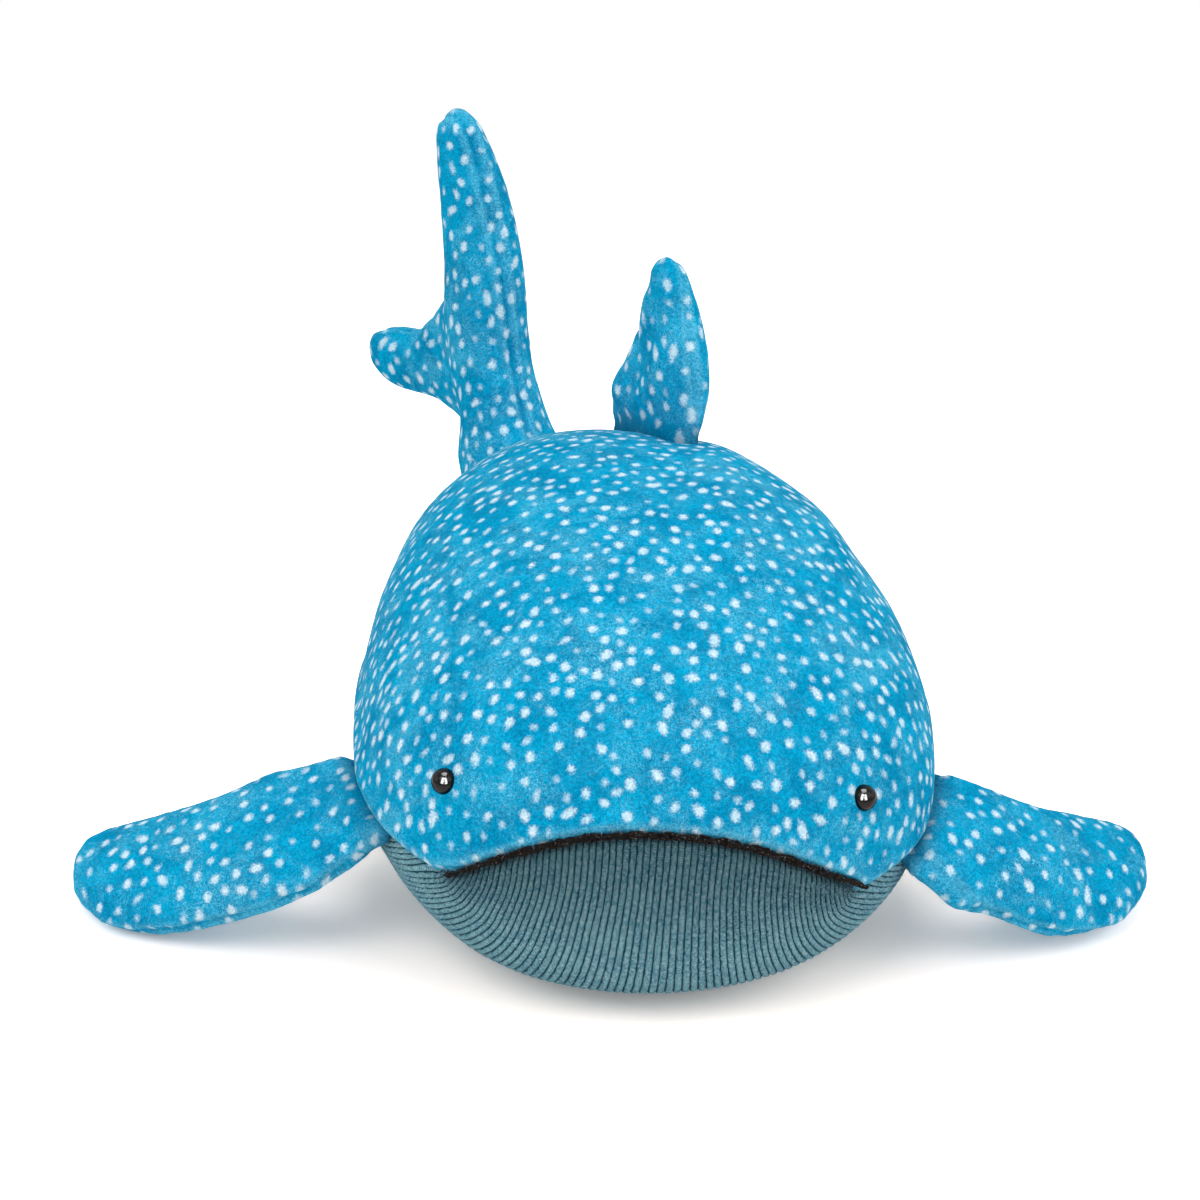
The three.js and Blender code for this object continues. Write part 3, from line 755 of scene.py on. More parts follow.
def back_panel(tree):
    """The pile fabric over the snout, back and sides."""
    hoops, _ = panel_hoops(tree, True, BACK_FAN_ROWS, PANEL_STEP, PANEL_STEP)
    share = np.linspace(0, 1, BACK_COLUMNS)
    points, normals = laid_along(hoops, lambda row, length: share * length)
    seam = panel_edges(points)
    away = seam_distance(points, seam)
    points = points + normals * (roll(away, *BACK_GROOVE) + roll(away, *BACK_ROLL))[..., None]
    piece = sewn_panel("back_panel_cloth", points, normals)
    mark(piece, "seam_away", seam_distance(points_of(piece)[None], seam)[0])
    rim = rim_fibres(points, normals, 51)
    rim.name = "mouth_rim_pile"
    mark(rim, "seam_away", np.full(len(rim.data.vertices), PALE_RIM_AWAY))
    smooth_shading(rim)
    return piece, rim


def belly_panel(tree):
    """The ribbed knit under the chin and belly, with every rib in its shape."""
    hoops, stations = panel_hoops(tree, False, BELLY_FAN_ROWS, BELLY_FRONT_STEP, BELLY_REAR_STEP)
    columns = RIBS_ACROSS_BELLY * RIB_POINTS + 1
    rib = np.linspace(-RIBS_ACROSS_BELLY / 2, RIBS_ACROSS_BELLY / 2, columns)
    profile = np.array(RIB_PROFILE)[np.arange(columns) % RIB_POINTS]
    raised, turns = [], []

    def columns_of(row, length):
        half = length / 2
        y = stations[max(row - BELLY_FAN_ROWS, 0)]
        ribs = RIBS_BESIDE_MIDDLE + MORE_RIBS_BEHIND * ease(y, -0.110, -0.020)
        ribs = min(max(ribs, half / RIB_WIDEST), half / RIB_NARROWEST)
        bunching = RIB_BUNCHING * ease(row / BELLY_FAN_ROWS, 0, 0.7) * (1 - ease(y, -0.060, 0.050))
        share = np.clip(rib / ribs, -1, 1)
        raised.append(profile * (np.abs(rib) < ribs - 1 / RIB_POINTS))
        turns.append(np.clip(rib, -ribs, ribs))
        return half + half * (share * (1 + bunching) - bunching * share ** 3)

    points, normals = laid_along(hoops, columns_of)
    along = lengths_along(points[:, columns // 2])
    uvs = np.stack([np.array(turns), np.repeat(along[:, None], columns, axis=1)], axis=-1)
    seam = panel_edges(points)
    points = eased_rows(points, seam_distance(points, seam), BELLY_FAN_ROWS, tree)
    away = seam_distance(points, seam)
    sunk = roll(away, *BELLY_GROOVE) + roll(away, *BELLY_UNDER_LIP)
    height = RIB_DEPTH * (np.array(raised) - 1) * ease(away, 0.0002, 0.0015)
    points = points + normals * (sunk + height)[..., None]
    points[..., 2] = np.maximum(points[..., 2], 0.0)
    return sewn_panel("belly_panel_knit", points, normals, uvs)


# Limbs: closed skins with a seam around them


def seam_closeness(points, tree_a, tree_b):
    """Distance of points from the seam between two panels, measured along the skin."""
    to_a, to_b = distances(points, tree_a), distances(points, tree_b)
    return np.sqrt(np.abs(to_a ** 2 - to_b ** 2))


def largest_part(piece):
    """Drops the pockets that remeshing leaves inside."""
    name = piece.name
    in_edit_mode(piece, lambda: bpy.ops.mesh.separate(type="LOOSE"))
    parts = sorted(bpy.context.selected_objects, key=lambda part: len(part.data.vertices))
    for part in parts[:-1]:
        bpy.data.objects.remove(part)
    parts[-1].name = name
    return parts[-1]


def remeshed(piece, voxel):
    apply_modifier(piece, "REMESH", mode="VOXEL", voxel_size=voxel)
    return largest_part(piece)


def hull(name, points):
    mesh = bpy.data.meshes.new(name)
    mesh.from_pydata([tuple(p) for p in points], [], [])
    piece = new_object(name, mesh)
    in_edit_mode(piece, bpy.ops.mesh.convex_hull)
    return piece


def root_place(piece, body):
    """Points of a limb next to the body, their middle, and the way into the body there."""
    points = points_of(piece)
    near = points[distances(points, body) < ROOT_REACH]
    middle = near.mean(axis=0)
    return near, middle, -np.array(body.find_nearest(middle)[1])


def rooted(piece, body, voxel, corners, reach=ROOT_REACH):
    """Carries the root of a limb on into the body, and to the corners where its edges end."""
    piece = remeshed(piece, voxel)
    near, middle, inwards = root_place(piece, body)
    points = points_of(piece)
    plug = [points[distances(points, body) < reach], near + inwards * ROOT_DEPTH]
    plug += [np.array(corner) + CUBE_CORNERS * CORNER_RADIUS for corner in corners]
    return joined(piece, hull("root_plug", np.concatenate(plug))), middle, inwards


def sewn_limb(name, piece, panels, shaping, tightness, voxel=LIMB_VOXEL, seam_shift=np.zeros_like):
    """A stuffed limb: one closed skin, drawn in along the seam between its two panels."""
    piece.name = name
    piece = remeshed(piece, voxel)
    pattern = tree_of(piece)
    smooth(piece, 5)
    move_points(piece, points_of(piece) - LIMB_SHRINK * normals_of(piece))
    swell(piece, LIMB_PRESSURE, LIMB_SWELLING)
    points = points_of(piece)
    held = np.array([pattern.find_nearest(p)[0] for p in points])
    move_points(piece, points + LIMB_HOLD * (held - points))
    smooth(piece, 2)
    shaping(piece)
    subdivide(piece)
    points, normals = points_of(piece), normals_of(piece)
    trees = [node_tree(panel) for panel in panels]
    away = seam_closeness(points + seam_shift(points), *trees)
    raised = tightness * (roll(away, *LIMB_GROOVE) + roll(away, *LIMB_RIDGE))
    raised = raised + smooth_noise(points, PUCKER_SIZE, 7) * roll(away, *LIMB_PUCKER)
    points = points + normals * raised[:, None]
    points[:, 2] = np.maximum(points[:, 2], FLOOR_GAP)
    move_points(piece, points)
    subdivide(piece)
    points = points_of(piece)
    away = seam_closeness(points + seam_shift(points), *trees)
    mark(piece, "seam_away", away + SLACK_SEAM_AWAY * (1 - tightness))
    smooth_shading(piece)
    return piece


def dress_limb(skin, nodes, plush, seed):
    """Dots and finish of a limb, whose CAD parts are then hidden."""
    print_dots(skin, LIMB_DOT_SPACING, seed)
    give(skin, plush)
    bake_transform(skin)
    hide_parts(*nodes)


def shade_root(piece, tree):
    """Keeps how near each point lies to the body, for the painted shade where a limb meets it."""
    away = distances(points_of(piece), tree)
    mark(piece, "root_shade_near", (1 - ease(away, 0.0, ROOT_SHADE_WIDTH)) ** 1.5)


# Dots: blue noise over a skin, kept as the way from each point to its dot


def scatter(piece, spacing, seed):
    """Places over a piece that keep a spacing from each other."""
    random = np.random.default_rng(seed)
    mesh = piece.data
    mesh.calc_loop_triangles()
    t = points_of(piece)[read(mesh.loop_triangles, "vertices", 3, np.int32)]
    areas = np.linalg.norm(np.cross(t[:, 1] - t[:, 0], t[:, 2] - t[:, 0]), axis=1) / 2
    tries = int(12 * areas.sum() / spacing ** 2)
    t = t[random.choice(len(areas), tries, p=areas / areas.sum())]
    a, b = random.random(tries), random.random(tries)
    flip = a + b > 1
    a[flip], b[flip] = 1 - a[flip], 1 - b[flip]
    places = t[:, 0] + a[:, None] * (t[:, 1] - t[:, 0]) + b[:, None] * (t[:, 2] - t[:, 0])
    kept, cells = [], {}
    for place in places:
        cell = tuple((place // spacing).astype(int))
        near = (
            other
            for dx in (-1, 0, 1) for dy in (-1, 0, 1) for dz in (-1, 0, 1)
            for other in cells.get((cell[0] + dx, cell[1] + dy, cell[2] + dz), ())
        )
        gap = spacing * random.uniform(*DOT_GAPS)
        if all(math.dist(place, other) > gap for other in near):
            cells.setdefault(cell, []).append(tuple(place))
            kept.append(tuple(place))
    return kept


def print_dots(piece, spacing, seed):
    """Gives a piece its printed dots as two attributes: the way from the dot, and its size."""
    dots = scatter(piece, spacing, seed)
    random = np.random.default_rng(seed + 1)
    sizes = DOT_RADIUS * random.uniform(*DOT_SIZES, len(dots))
    grain = unit(0.45 * random.normal(size=(len(dots), 3)) + (0, 0, 1))
    narrower = random.uniform(*DOT_NARROWING, (len(dots), 1))
    tree = tree_of_places(dots)
    mesh = piece.data
    nearest = np.array([tree.find(p)[1] for p in read(mesh.polygons, "center", 3)])
    own = np.repeat(nearest, read(mesh.polygons, "loop_total", kind=np.int32))
    ways = points_of(piece)[corner_points(mesh)] - np.array(dots)[own]
    lengthwise = np.sum(ways * grain[own], axis=1, keepdims=True)
    ways = ways - narrower[own] * lengthwise * grain[own]
    mark(piece, "dot_way", ways, "FLOAT_VECTOR", "CORNER")
    mark(piece, "dot_size", sizes[own], "FLOAT", "CORNER")


# Materials


def new_material(name, **values):
    """A material with a Principled shader and the values that are the same all over it."""
    material = bpy.data.materials.new(name)
    material.use_nodes = True
    shader = material.node_tree.nodes["Principled BSDF"]
    for socket, value in values.items():
        shader.inputs[socket.replace("_", " ")].default_value = value
    return material, material.node_tree, shader


def add_node(tree, kind, settings=None, **inputs):
    """A shader node with settings, whose inputs are sockets to link or plain values."""
    node = tree.nodes.new("ShaderNode" + kind)
    for name, value in (settings or {}).items():
        setattr(node, name, value)
    for name, value in inputs.items():
        socket = node.inputs[int(name[1:])] if name[0] == "i" and name[1:].isdigit() else node.inputs[name]
        if isinstance(value, bpy.types.NodeSocket):
            tree.links.new(value, socket)
        else:
            socket.default_value = value
    return node


def maths(tree, operation, a, b=0.0):
    return add_node(tree, "Math", {"operation": operation}, i0=a, i1=b).outputs[0]


def times(tree, a, b):
    return maths(tree, "MULTIPLY", a, b)


def apart_from(tree, value, middle):
    return maths(tree, "ABSOLUTE", maths(tree, "SUBTRACT", value, middle))


def to_both_sides(tree, value, width):
    """Turns a value from 0 to 1 into one of a width about 0."""
    return times(tree, maths(tree, "SUBTRACT", value, 0.5), width)


def mixed(tree, share, a, b):
    node = add_node(tree, "Mix", {"data_type": "RGBA"}, i0=share, i6=a, i7=b)
    return node.outputs[2]


def mapped(tree, value, low, high, to_low=0.0, to_high=1.0, smooth=True):
    kind = "SMOOTHSTEP" if smooth else "LINEAR"
    node = add_node(tree, "MapRange", {"interpolation_type": kind},
                    i0=value, i1=low, i2=high, i3=to_low, i4=to_high)
    return node.outputs[0]


def noise_of(tree, vector, scale, detail=2.0, roughness=0.5, distortion=0.0):
    node = add_node(tree, "TexNoise", None, Vector=vector, Scale=scale, Detail=detail,
                    Roughness=roughness, Distortion=distortion)
    return node.outputs["Fac"]


def kept_value(tree, name, output="Fac"):
    """A value that the piece keeps on its points or corners."""
    return add_node(tree, "Attribute", {"attribute_name": name}).outputs[output]


def length_of(tree, vector):
    node = add_node(tree, "VectorMath", {"operation": "LENGTH"}, i0=vector)
    return node.outputs["Value"]


def object_place(tree):
    return tree.nodes.new("ShaderNodeTexCoord").outputs["Object"]


def new_group(name, *outputs):
    """A node group that reads a place and gives values."""
    tree = bpy.data.node_groups.new(name, "ShaderNodeTree")
    tree.interface.new_socket("Vector", in_out="INPUT", socket_type="NodeSocketVector")
    for socket in outputs:
        tree.interface.new_socket(socket, in_out="OUTPUT", socket_type="NodeSocketFloat")
    place = tree.nodes.new("NodeGroupInput").outputs["Vector"]
    return tree, place, tree.nodes.new("NodeGroupOutput").inputs


def finish(tree, shader, colour, height, strength, distance):
    """Gives a shader its colour, and a bump from a height."""
    tree.links.new(colour, shader.inputs["Base Color"])
    bump = add_node(tree, "Bump", None, Height=height, Strength=strength, Distance=distance)
    tree.links.new(bump.outputs["Normal"], shader.inputs["Normal"])


def wisps_of(tree, place, scale, distortion, thin):
    """Thin curling lines, as single fibres lie on a pile."""
    away = apart_from(tree, noise_of(tree, place, scale, 2, 0.5, distortion), 0.5)
    return mapped(tree, away, 0.0, thin, 1, 0)


def pile_group():
    """Short pile: how it lies in patches, its pale fibres, its grain, and its height."""
    tree, place, made = new_group("Pile", "Lie", "Fibres", "Grain", "Height")
    lie = mapped(tree, noise_of(tree, place, 60, 4, 0.6, 0.6), 0.34, 0.66)
    patches = mapped(tree, noise_of(tree, place, 44, 4, 0.65, 0.9), 0.40, 0.66, 0.06, 1)
    long_wisps = wisps_of(tree, place, 290, 3.0, 0.022)
    short_wisps = wisps_of(tree, place, 480, 2.4, 0.026)
    fibres = maths(tree, "MAXIMUM", long_wisps, times(tree, short_wisps, 0.9))
    grain = mapped(tree, noise_of(tree, place, 1050, 2, 0.7, 1.0), 0.43, 0.58, smooth=False)
    tuft = noise_of(tree, place, 420, 3, 0.7, 1.2)
    height = maths(tree, "ADD", times(tree, grain, 0.35), times(tree, tuft, 0.65))
    values = {"Lie": lie, "Fibres": times(tree, fibres, patches), "Grain": grain, "Height": height}
    for name, value in values.items():
        tree.links.new(value, made[name])
    return tree


def dots_group():
    """Printed dots with soft, ragged edges, the smaller the fainter."""
    tree, place, made = new_group("Dots", "Dot")
    size = kept_value(tree, "dot_size")
    length = length_of(tree, kept_value(tree, "dot_way", "Vector"))
    wide = to_both_sides(tree, noise_of(tree, place, 260, 2), 0.0022)
    fine = to_both_sides(tree, noise_of(tree, place, 1300, 3, 0.7), 0.0034)
    edge = maths(tree, "ADD", maths(tree, "SUBTRACT", length, size), maths(tree, "ADD", wide, fine))
    dot = mapped(tree, edge, -0.0009, 0.0009, 1, 0)
    strength = mapped(tree, size, 0.55 * DOT_RADIUS, 1.05 * DOT_RADIUS, 0.50, 1.0)
    tree.links.new(times(tree, dot, strength), made["Dot"])
    return tree


def plush_material():
    """Blue pile with white dots: painted shade in seams and at roots, paler at rims, and a painted sheen
    towards its edges.
    """
    material, tree, shader = new_material(
        "plush_blue", Roughness=0.95, Specular_IOR_Level=0.0,
        Sheen_Weight=0.005, Sheen_Roughness=0.35, Sheen_Tint=(0.80, 0.90, 1.0, 1))
    place = object_place(tree)
    pile = add_node(tree, "Group", {"node_tree": pile_group()}, Vector=place).outputs
    dots = add_node(tree, "Group", {"node_tree": dots_group()}, Vector=place).outputs
    grain, lie = pile["Grain"], pile["Lie"]
    blue = mixed(tree, grain, mixed(tree, lie, *PILE_DEEP), mixed(tree, lie, *PILE_LIGHT))
    seam = kept_value(tree, "seam_away")
    # Painted shade along the seam grooves
    blue = mixed(tree, mapped(tree, seam, 0.0003, 0.0014, 0.50, 0), blue, PAINTED_SEAM_SHADE)
    rim = mapped(tree, apart_from(tree, seam, PALE_RIM_AWAY), 0, 0.0026, 0.42, 0)
    rim = times(tree, rim, mapped(tree, grain, 0, 1, 0.30, 1))
    blue = mixed(tree, maths(tree, "MAXIMUM", pile["Fibres"], rim), blue, PILE_TIPS)
    # Painted sheen: paler colour where the surface is seen at a graze
    edge = add_node(tree, "LayerWeight", None, Blend=0.30).outputs["Facing"]
    blue = mixed(tree, mapped(tree, edge, 0.58, 1.0, 0, 0.6), blue, PAINTED_EDGE_SHEEN)
    white = mixed(tree, grain, *DOT_WHITE)
    colour = mixed(tree, times(tree, dots["Dot"], 0.95), blue, white)
    # Painted shade where a limb meets the body, darkest at the root
    colour = mixed(tree, times(tree, kept_value(tree, "root_shade_near"), 0.66), colour, PAINTED_ROOT_SHADE)
    finish(tree, shader, colour, pile["Height"], 0.7, 0.0007)
    return material


def knit_material():
    """Ribbed knit: U counts the ribs and V runs along them, in metres."""
    material, tree, shader = new_material(
        "rib_knit", Roughness=0.95, Specular_IOR_Level=0.0,
        Sheen_Weight=0.03, Sheen_Roughness=0.5, Sheen_Tint=(0.7, 0.9, 1.0, 1))
    place = object_place(tree)
    uv = add_node(tree, "UVMap", {"uv_map": "UVMap"}).outputs["UV"]
    apart = add_node(tree, "SeparateXYZ", None, Vector=uv).outputs
    wobble = to_both_sides(tree, noise_of(tree, place, 520, 3, 0.65), 0.55)
    across = maths(tree, "FRACT", maths(tree, "ADD", apart["X"], wobble))
    from_middle = apart_from(tree, across, 0.5)
    groove = mapped(tree, from_middle, 0.27, 0.47)
    rows = maths(tree, "DIVIDE", apart["Y"], STITCH_LENGTH)
    stitch = maths(tree, "FRACT", maths(tree, "ADD", rows, times(tree, from_middle, 1.8)))
    loops = mapped(tree, apart_from(tree, stitch, 0.5), 0.05, 0.45)
    fuzz = mapped(tree, noise_of(tree, place, 900, 2, 0.7, 0.8), 0.42, 0.62, smooth=False)
    shade = mapped(tree, noise_of(tree, place, 75, 3, 0.6, 0.3), 0.36, 0.64)
    light = mixed(tree, times(tree, fuzz, 0.85), mixed(tree, shade, *KNIT_BLUE), KNIT_FUZZ)
    specks = mapped(tree, noise_of(tree, place, 1500, 1, 0.5, 0.6), 0.60, 0.68, 0, 0.7, smooth=False)
    light = mixed(tree, specks, light, KNIT_SPECKS)
    # Painted shade in the rib grooves, together with the darker gaps between stitches
    dark = maths(tree, "MAXIMUM", times(tree, groove, 0.97), times(tree, loops, 0.62))
    colour = mixed(tree, dark, light, KNIT_GROOVE_SHADE_AND_STITCH_GAPS)
    # Painted shade under the lip, fading out further down the belly
    lip_shade = mapped(tree, apart["Y"], 0.001, 0.068, 0.40, 1.0)
    colour = mixed(tree, lip_shade, PAINTED_SHADE_UNDER_LIP, colour)
    height = maths(tree, "SUBTRACT", times(tree, fuzz, 0.5), times(tree, loops, 0.5))
    finish(tree, shader, colour, height, 0.8, 0.0004)
    return material


def yarn_material():
    """Matt black-brown yarn with a few pale flecks."""
    material, tree, shader = new_material(
        "yarn_black", Roughness=0.95, Specular_IOR_Level=0.0, Sheen_Weight=0.05, Sheen_Roughness=0.4)
    place = object_place(tree)
    strands = noise_of(tree, place, 1000, 3, 0.6, 1.5)
    colour = mixed(tree, mapped(tree, strands, 0.36, 0.66), *YARN_BLACK)
    flecks = mapped(tree, noise_of(tree, place, 1500, 1, 0.5, 0.4), 0.67, 0.72, 0, 0.7, smooth=False)
    finish(tree, shader, mixed(tree, flecks, colour, YARN_FLECKS), strands, 0.7, 0.0005)
    return material


def moulded_material(name, colour, spread, **values):
    """Moulded plastic of one colour with fine mottling and bump."""
    material, tree, shader = new_material(name, **values)
    grain = noise_of(tree, object_place(tree), 300, 4, 0.6, 0.4)
    darker = tuple(c * (1 - spread) for c in colour) + (1,)
    lighter = tuple(min(c * (1 + spread) + 0.01 * spread, 1) for c in colour) + (1,)
    finish(tree, shader, mixed(tree, mapped(tree, grain, 0.3, 0.7), darker, lighter), grain, 0.4, 0.0003)
    return material


def give(piece, material, body=None):
    piece.data.materials.clear()
    piece.data.materials.append(material)
    if body:
        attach(piece, body)


# Eyes and yarn


def bead_eye(side, material):
    """A glossy bead, sunk a little into the pile and turned out to its side."""
    middle, tip = eye_axis(side)
    way = Vector(tip - middle).normalized()
    piece = started_from(f"{side}_bead_eye", bpy.ops.mesh.primitive_uv_sphere_add,
                         segments=64, ring_count=40, radius=BEAD_RADIUS)
    points = points_of(piece)
    high = np.clip(points[:, 2], BEAD_BACK, None)
    inset = np.where(points[:, 2] < 0, BEAD_BACK_WIDTH, 1.0)
    shaped = np.stack([points[:, 0] * inset, points[:, 1] * inset, high * BEAD_BULGE / BEAD_RADIUS], axis=1)
    turn = Vector((0, 0, 1)).rotation_difference(way).to_matrix()
    base = Vector(tip) - way * (BEAD_BULGE + EYE_SINKING)
    base = base + Vector(EYE_OUTWARDS * eye_sideways(side)) + Vector((0, 0, EYE_RISE))
    move_points(piece, [tuple(turn @ Vector(p) + base) for p in shaped])
    smooth_shading(piece)
    give(piece, material, "torso")
    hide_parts(f"{side}_eye")


def waver(wanted, start, length):
    """Soft noise along the yarn, from -1 to 1."""
    return np.array([noise.noise(Vector((start, 0, t / length))) for t in wanted])


def mouth_yarn(tree, material):
    """Two slack strands laid side by side with a slow twist, sewn along the mouth seam."""
    line = mouth_line(tree)
    lengths = lengths_along(line)
    wanted = np.linspace(0, lengths[-1], YARN_STEPS)
    centre = at_lengths(lengths, line, wanted)
    outwards = unit(centre - np.array([0, -0.03, 0.07]))
    centre = centre - outwards * 0.0002
    slow, quick = waver(wanted, 0, YARN_SWAY_LENGTHS[0]), waver(wanted, 5, YARN_SWAY_LENGTHS[1])
    centre[:, 2] += YARN_SWAY[0] * slow + YARN_SWAY[1] * quick
    along = unit(np.gradient(centre, axis=0))
    side = unit(np.cross(along, outwards))
    up = np.cross(side, along)
    angle = np.linspace(0, 2 * math.pi, YARN_SIDES + 1)
    twist = wanted[:, None] / YARN_TURN * 2 * math.pi + 1.6 * slow[:, None]
    parting = np.abs(np.cos(angle[None] - twist)) ** 1.5
    thick = YARN_THINNEST + YARN_STRANDS * parting + 0.00026 * slow[:, None] + 0.00018 * quick[:, None]
    rings = [(math.cos(a) * 1.6, math.sin(a) * 1.6) for a in angle]
    lumps = [[noise.noise(Vector((t / YARN_LUMP_LENGTH, *ring))) for ring in rings] for t in wanted]
    thick = thick + YARN_LUMPS * np.array(lumps)
    from_end = np.minimum(wanted, lengths[-1] - wanted)
    ends = ease(wanted, 0, YARN_END) * ease(lengths[-1] - wanted, 0, YARN_END)
    thick = thick * (0.93 * ends * (0.66 + 0.34 * ease(from_end, 0, YARN_TAPER)))[:, None]
    around = np.cos(angle)[None, :, None] * side[:, None] + np.sin(angle)[None, :, None] * up[:, None]
    tube = centre[:, None] + thick[..., None] * around
    piece = cloth_grid("mouth_yarn_twisted", tube)
    close_tubes(piece)
    random = np.random.default_rng(61)
    steps = random.integers(6, YARN_STEPS - 6, YARN_FIBRES)
    turns = random.integers(0, YARN_SIDES, YARN_FIBRES)
    roots = centre[steps] + 0.85 * (tube[steps, turns] - centre[steps])
    ways = unit(0.8 * around[steps, turns] + random.normal(size=(YARN_FIBRES, 1)) * along[steps])
    piece = joined(piece, loose_fibres(roots, ways, YARN_FIBRE_LENGTHS, 62))
    smooth_shading(piece)
    give(piece, material, "torso")
    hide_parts("mouth_yarn")


# Fins and tail


def side_fin(side, body, plush):
    """A side fin, its edges moved to where they lie, with both corners of its root sewn to the body."""
    names = [f"{side}_fin_upper_panel", f"{side}_fin_lower_panel", f"{side}_fin_filling"]
    hand = 1 if side == "left" else -1
    fin = copy_of(f"{side}_fin_form", *names)
    points = points_of(fin)
    _, middle, _ = root_place(fin, body)
    chord = np.array((0.226 * hand, 0.924, 0.308))
    tip = points[np.argmax(hand * points[:, 0])]
    length = np.linalg.norm(tip - middle)
    reach = (points - middle) @ ((tip - middle) / length) / length
    across = (points - (middle + 0.004 * chord)) @ chord
    rear = ease(across, -0.008, 0.020) * np.interp(reach, *np.array(REAR_EDGE[side]).T)
    front = ease(-across, -0.008, 0.018) * np.interp(reach, *np.array(FRONT_EDGE[side]).T)
    drop = TIP_DROP * ease(reach, 0.62, 0.95)
    fuller = np.zeros_like(points)
    for place, way, size in FIN_FULLER[side]:
        away = np.linalg.norm(points - np.array(place), axis=1)
        fuller += bell(away, size)[:, None] * np.array(way)
    points = points + chord * (rear - front - drop)[:, None] + fuller
    points[:, 0] += hand * TIP_STRETCH * ease(reach, 0.8, 1)
    move_points(fin, points)
    fin, root, inwards = rooted(fin, body, LIMB_VOXEL, FIN_CORNERS[side], SIDE_FIN_REACH)

    def gather(piece):
        points, normals = points_of(piece), normals_of(piece)
        away = distances(points, body)
        gathers = np.sin((points - root) @ chord / GATHER_LENGTH * 2 * math.pi)
        gathers = gathers * (1 + smooth_noise(points, 0.012, 3))
        depth = ROOT_DENT * bell(away, 0.004) + GATHER_DEPTH * gathers * bell(away, 0.008)
        move_points(piece, points - normals * depth[:, None])

    fin = sewn_limb(f"{side}_fin_skin", fin, names[:2], gather, 0.7)
    shade_root(fin, body)
    dress_limb(fin, names, plush, 21 if side == "left" else 23)


def back_fin(body, plush):
    """The back fin: a round front edge, and a slack left side with a fold across it."""
    names = ["dorsal_fin_left_panel", "dorsal_fin_right_panel", "dorsal_fin_filling"]
    fin = copy_of("dorsal_fin_form", *names)
    points = points_of(fin)
    share = np.clip((points[:, 2] - 0.150) / 0.075, 0, 1)
    arch = np.sin(math.pi * share)
    points[:, 2] += 0.0035 * share
    points[:, 0] += 0.0050 * arch * zone(points, x=(0.008, 0.022))
    points[:, 0] += 0.0018 * arch * zone(points, x=(0.012, -0.004))
    points[:, 0] -= 0.0040 * share ** 2
    move_points(fin, points)
    fin, root, inwards = rooted(fin, body, BACK_FIN_VOXEL, BACK_FIN_CORNERS)

    def slacken(piece):
        normals = normals_of(piece)
        points = points_of(piece)
        for crease in BACK_FIN_FOLDS:
            points = fold(points, normals, *crease)
        for dent in BACK_FIN_DENTS:
            points = press(points, normals, *dent)
        move_points(piece, points)

    fin = sewn_limb("dorsal_fin_skin", fin, names[:2], slacken, 0.35, voxel=BACK_FIN_VOXEL)
    shade_root(fin, body)
    dress_limb(fin, names, plush, 31)


def tail_collar():
    """The end of the tail's skin around the body's ball."""
    piece = started_from("tail_collar", bpy.ops.mesh.primitive_uv_sphere_add,
                         segments=48, ring_count=32, radius=COLLAR_RADIUS, location=TAIL_HINGE)
    bpy.ops.object.transform_apply(location=True, rotation=True, scale=True)
    return piece


def round_fork(piece):
    """Rubs the notch between the two lobes round."""
    group = piece.vertex_groups.new(name="fork")
    away = np.linalg.norm(points_of(piece) - np.array(FORK), axis=1)
    for index in np.nonzero(away < FORK_REACH)[0]:
        weight = 1 - ease(away[index], 0.4 * FORK_REACH, FORK_REACH)
        group.add([int(index)], float(weight), "REPLACE")
    smooth(piece, FORK_SMOOTHING, vertex_group="fork")


def front_seam(points):
    """How far the upper lobe's seam lies in front of its middle."""
    shift = np.zeros_like(points)
    shift[:, 0] = 0.006 * np.clip((points[:, 2] - 0.115) / 0.105, 0, 1)
    return shift


def tail_fin(plush):
    """The tail: stock and both lobes in one, with a round fork and its front seam drawn in."""
    names = ["tail_left_panel", "tail_right_panel", "tail_filling"]
    form = copy_of("tail_form", *names)
    points = points_of(form)
    points[:, 2] += 0.0040 * zone(points, z=(0.150, 0.224))
    points[:, 2] += 0.0035 * zone(points, x=(-0.078, -0.108)) * (points[:, 2] < LOWER_LOBE_TOP)
    points[:, 0] -= 0.0018 * zone(points, x=(-0.088, -0.110)) * (points[:, 2] < LOWER_LOBE_TOP)
    heights, middles, front_moves, back_moves = np.array(TAIL_ROWS).T
    height = points[:, 2].copy()
    middle = np.interp(height, heights, middles)
    in_front = ease(points[:, 0] - middle, -0.004, 0.010)
    points[:, 0] += in_front * np.interp(height, heights, front_moves)
    behind = ease(middle - points[:, 0], -0.004, 0.010) * ease(points[:, 0] - middle, -0.044, -0.032)
    points[:, 0] += behind * np.interp(height, heights, back_moves)
    lobe_middle = np.interp(points[:, 0], (-0.112, -0.080), (0.094, 0.105))
    under = zone(points, x=(-0.066, -0.084)) * zone(points, x=(-0.112, -0.100))
    points[:, 2] -= 0.0030 * under * ease(lobe_middle - points[:, 2], -0.002, 0.008)
    move_points(form, points)
    web = [np.array(place) + FORK_WEB_RADIUS * CUBE_CORNERS for place in FORK_WEB]
    web = hull("fork_web", np.concatenate(web))
    form = joined(form, tail_collar(), web)
    tail = sewn_limb("tail_skin", form, names[:2], round_fork, 0.85, seam_shift=front_seam)
    dress_limb(tail, names, plush, 41)


# The studio


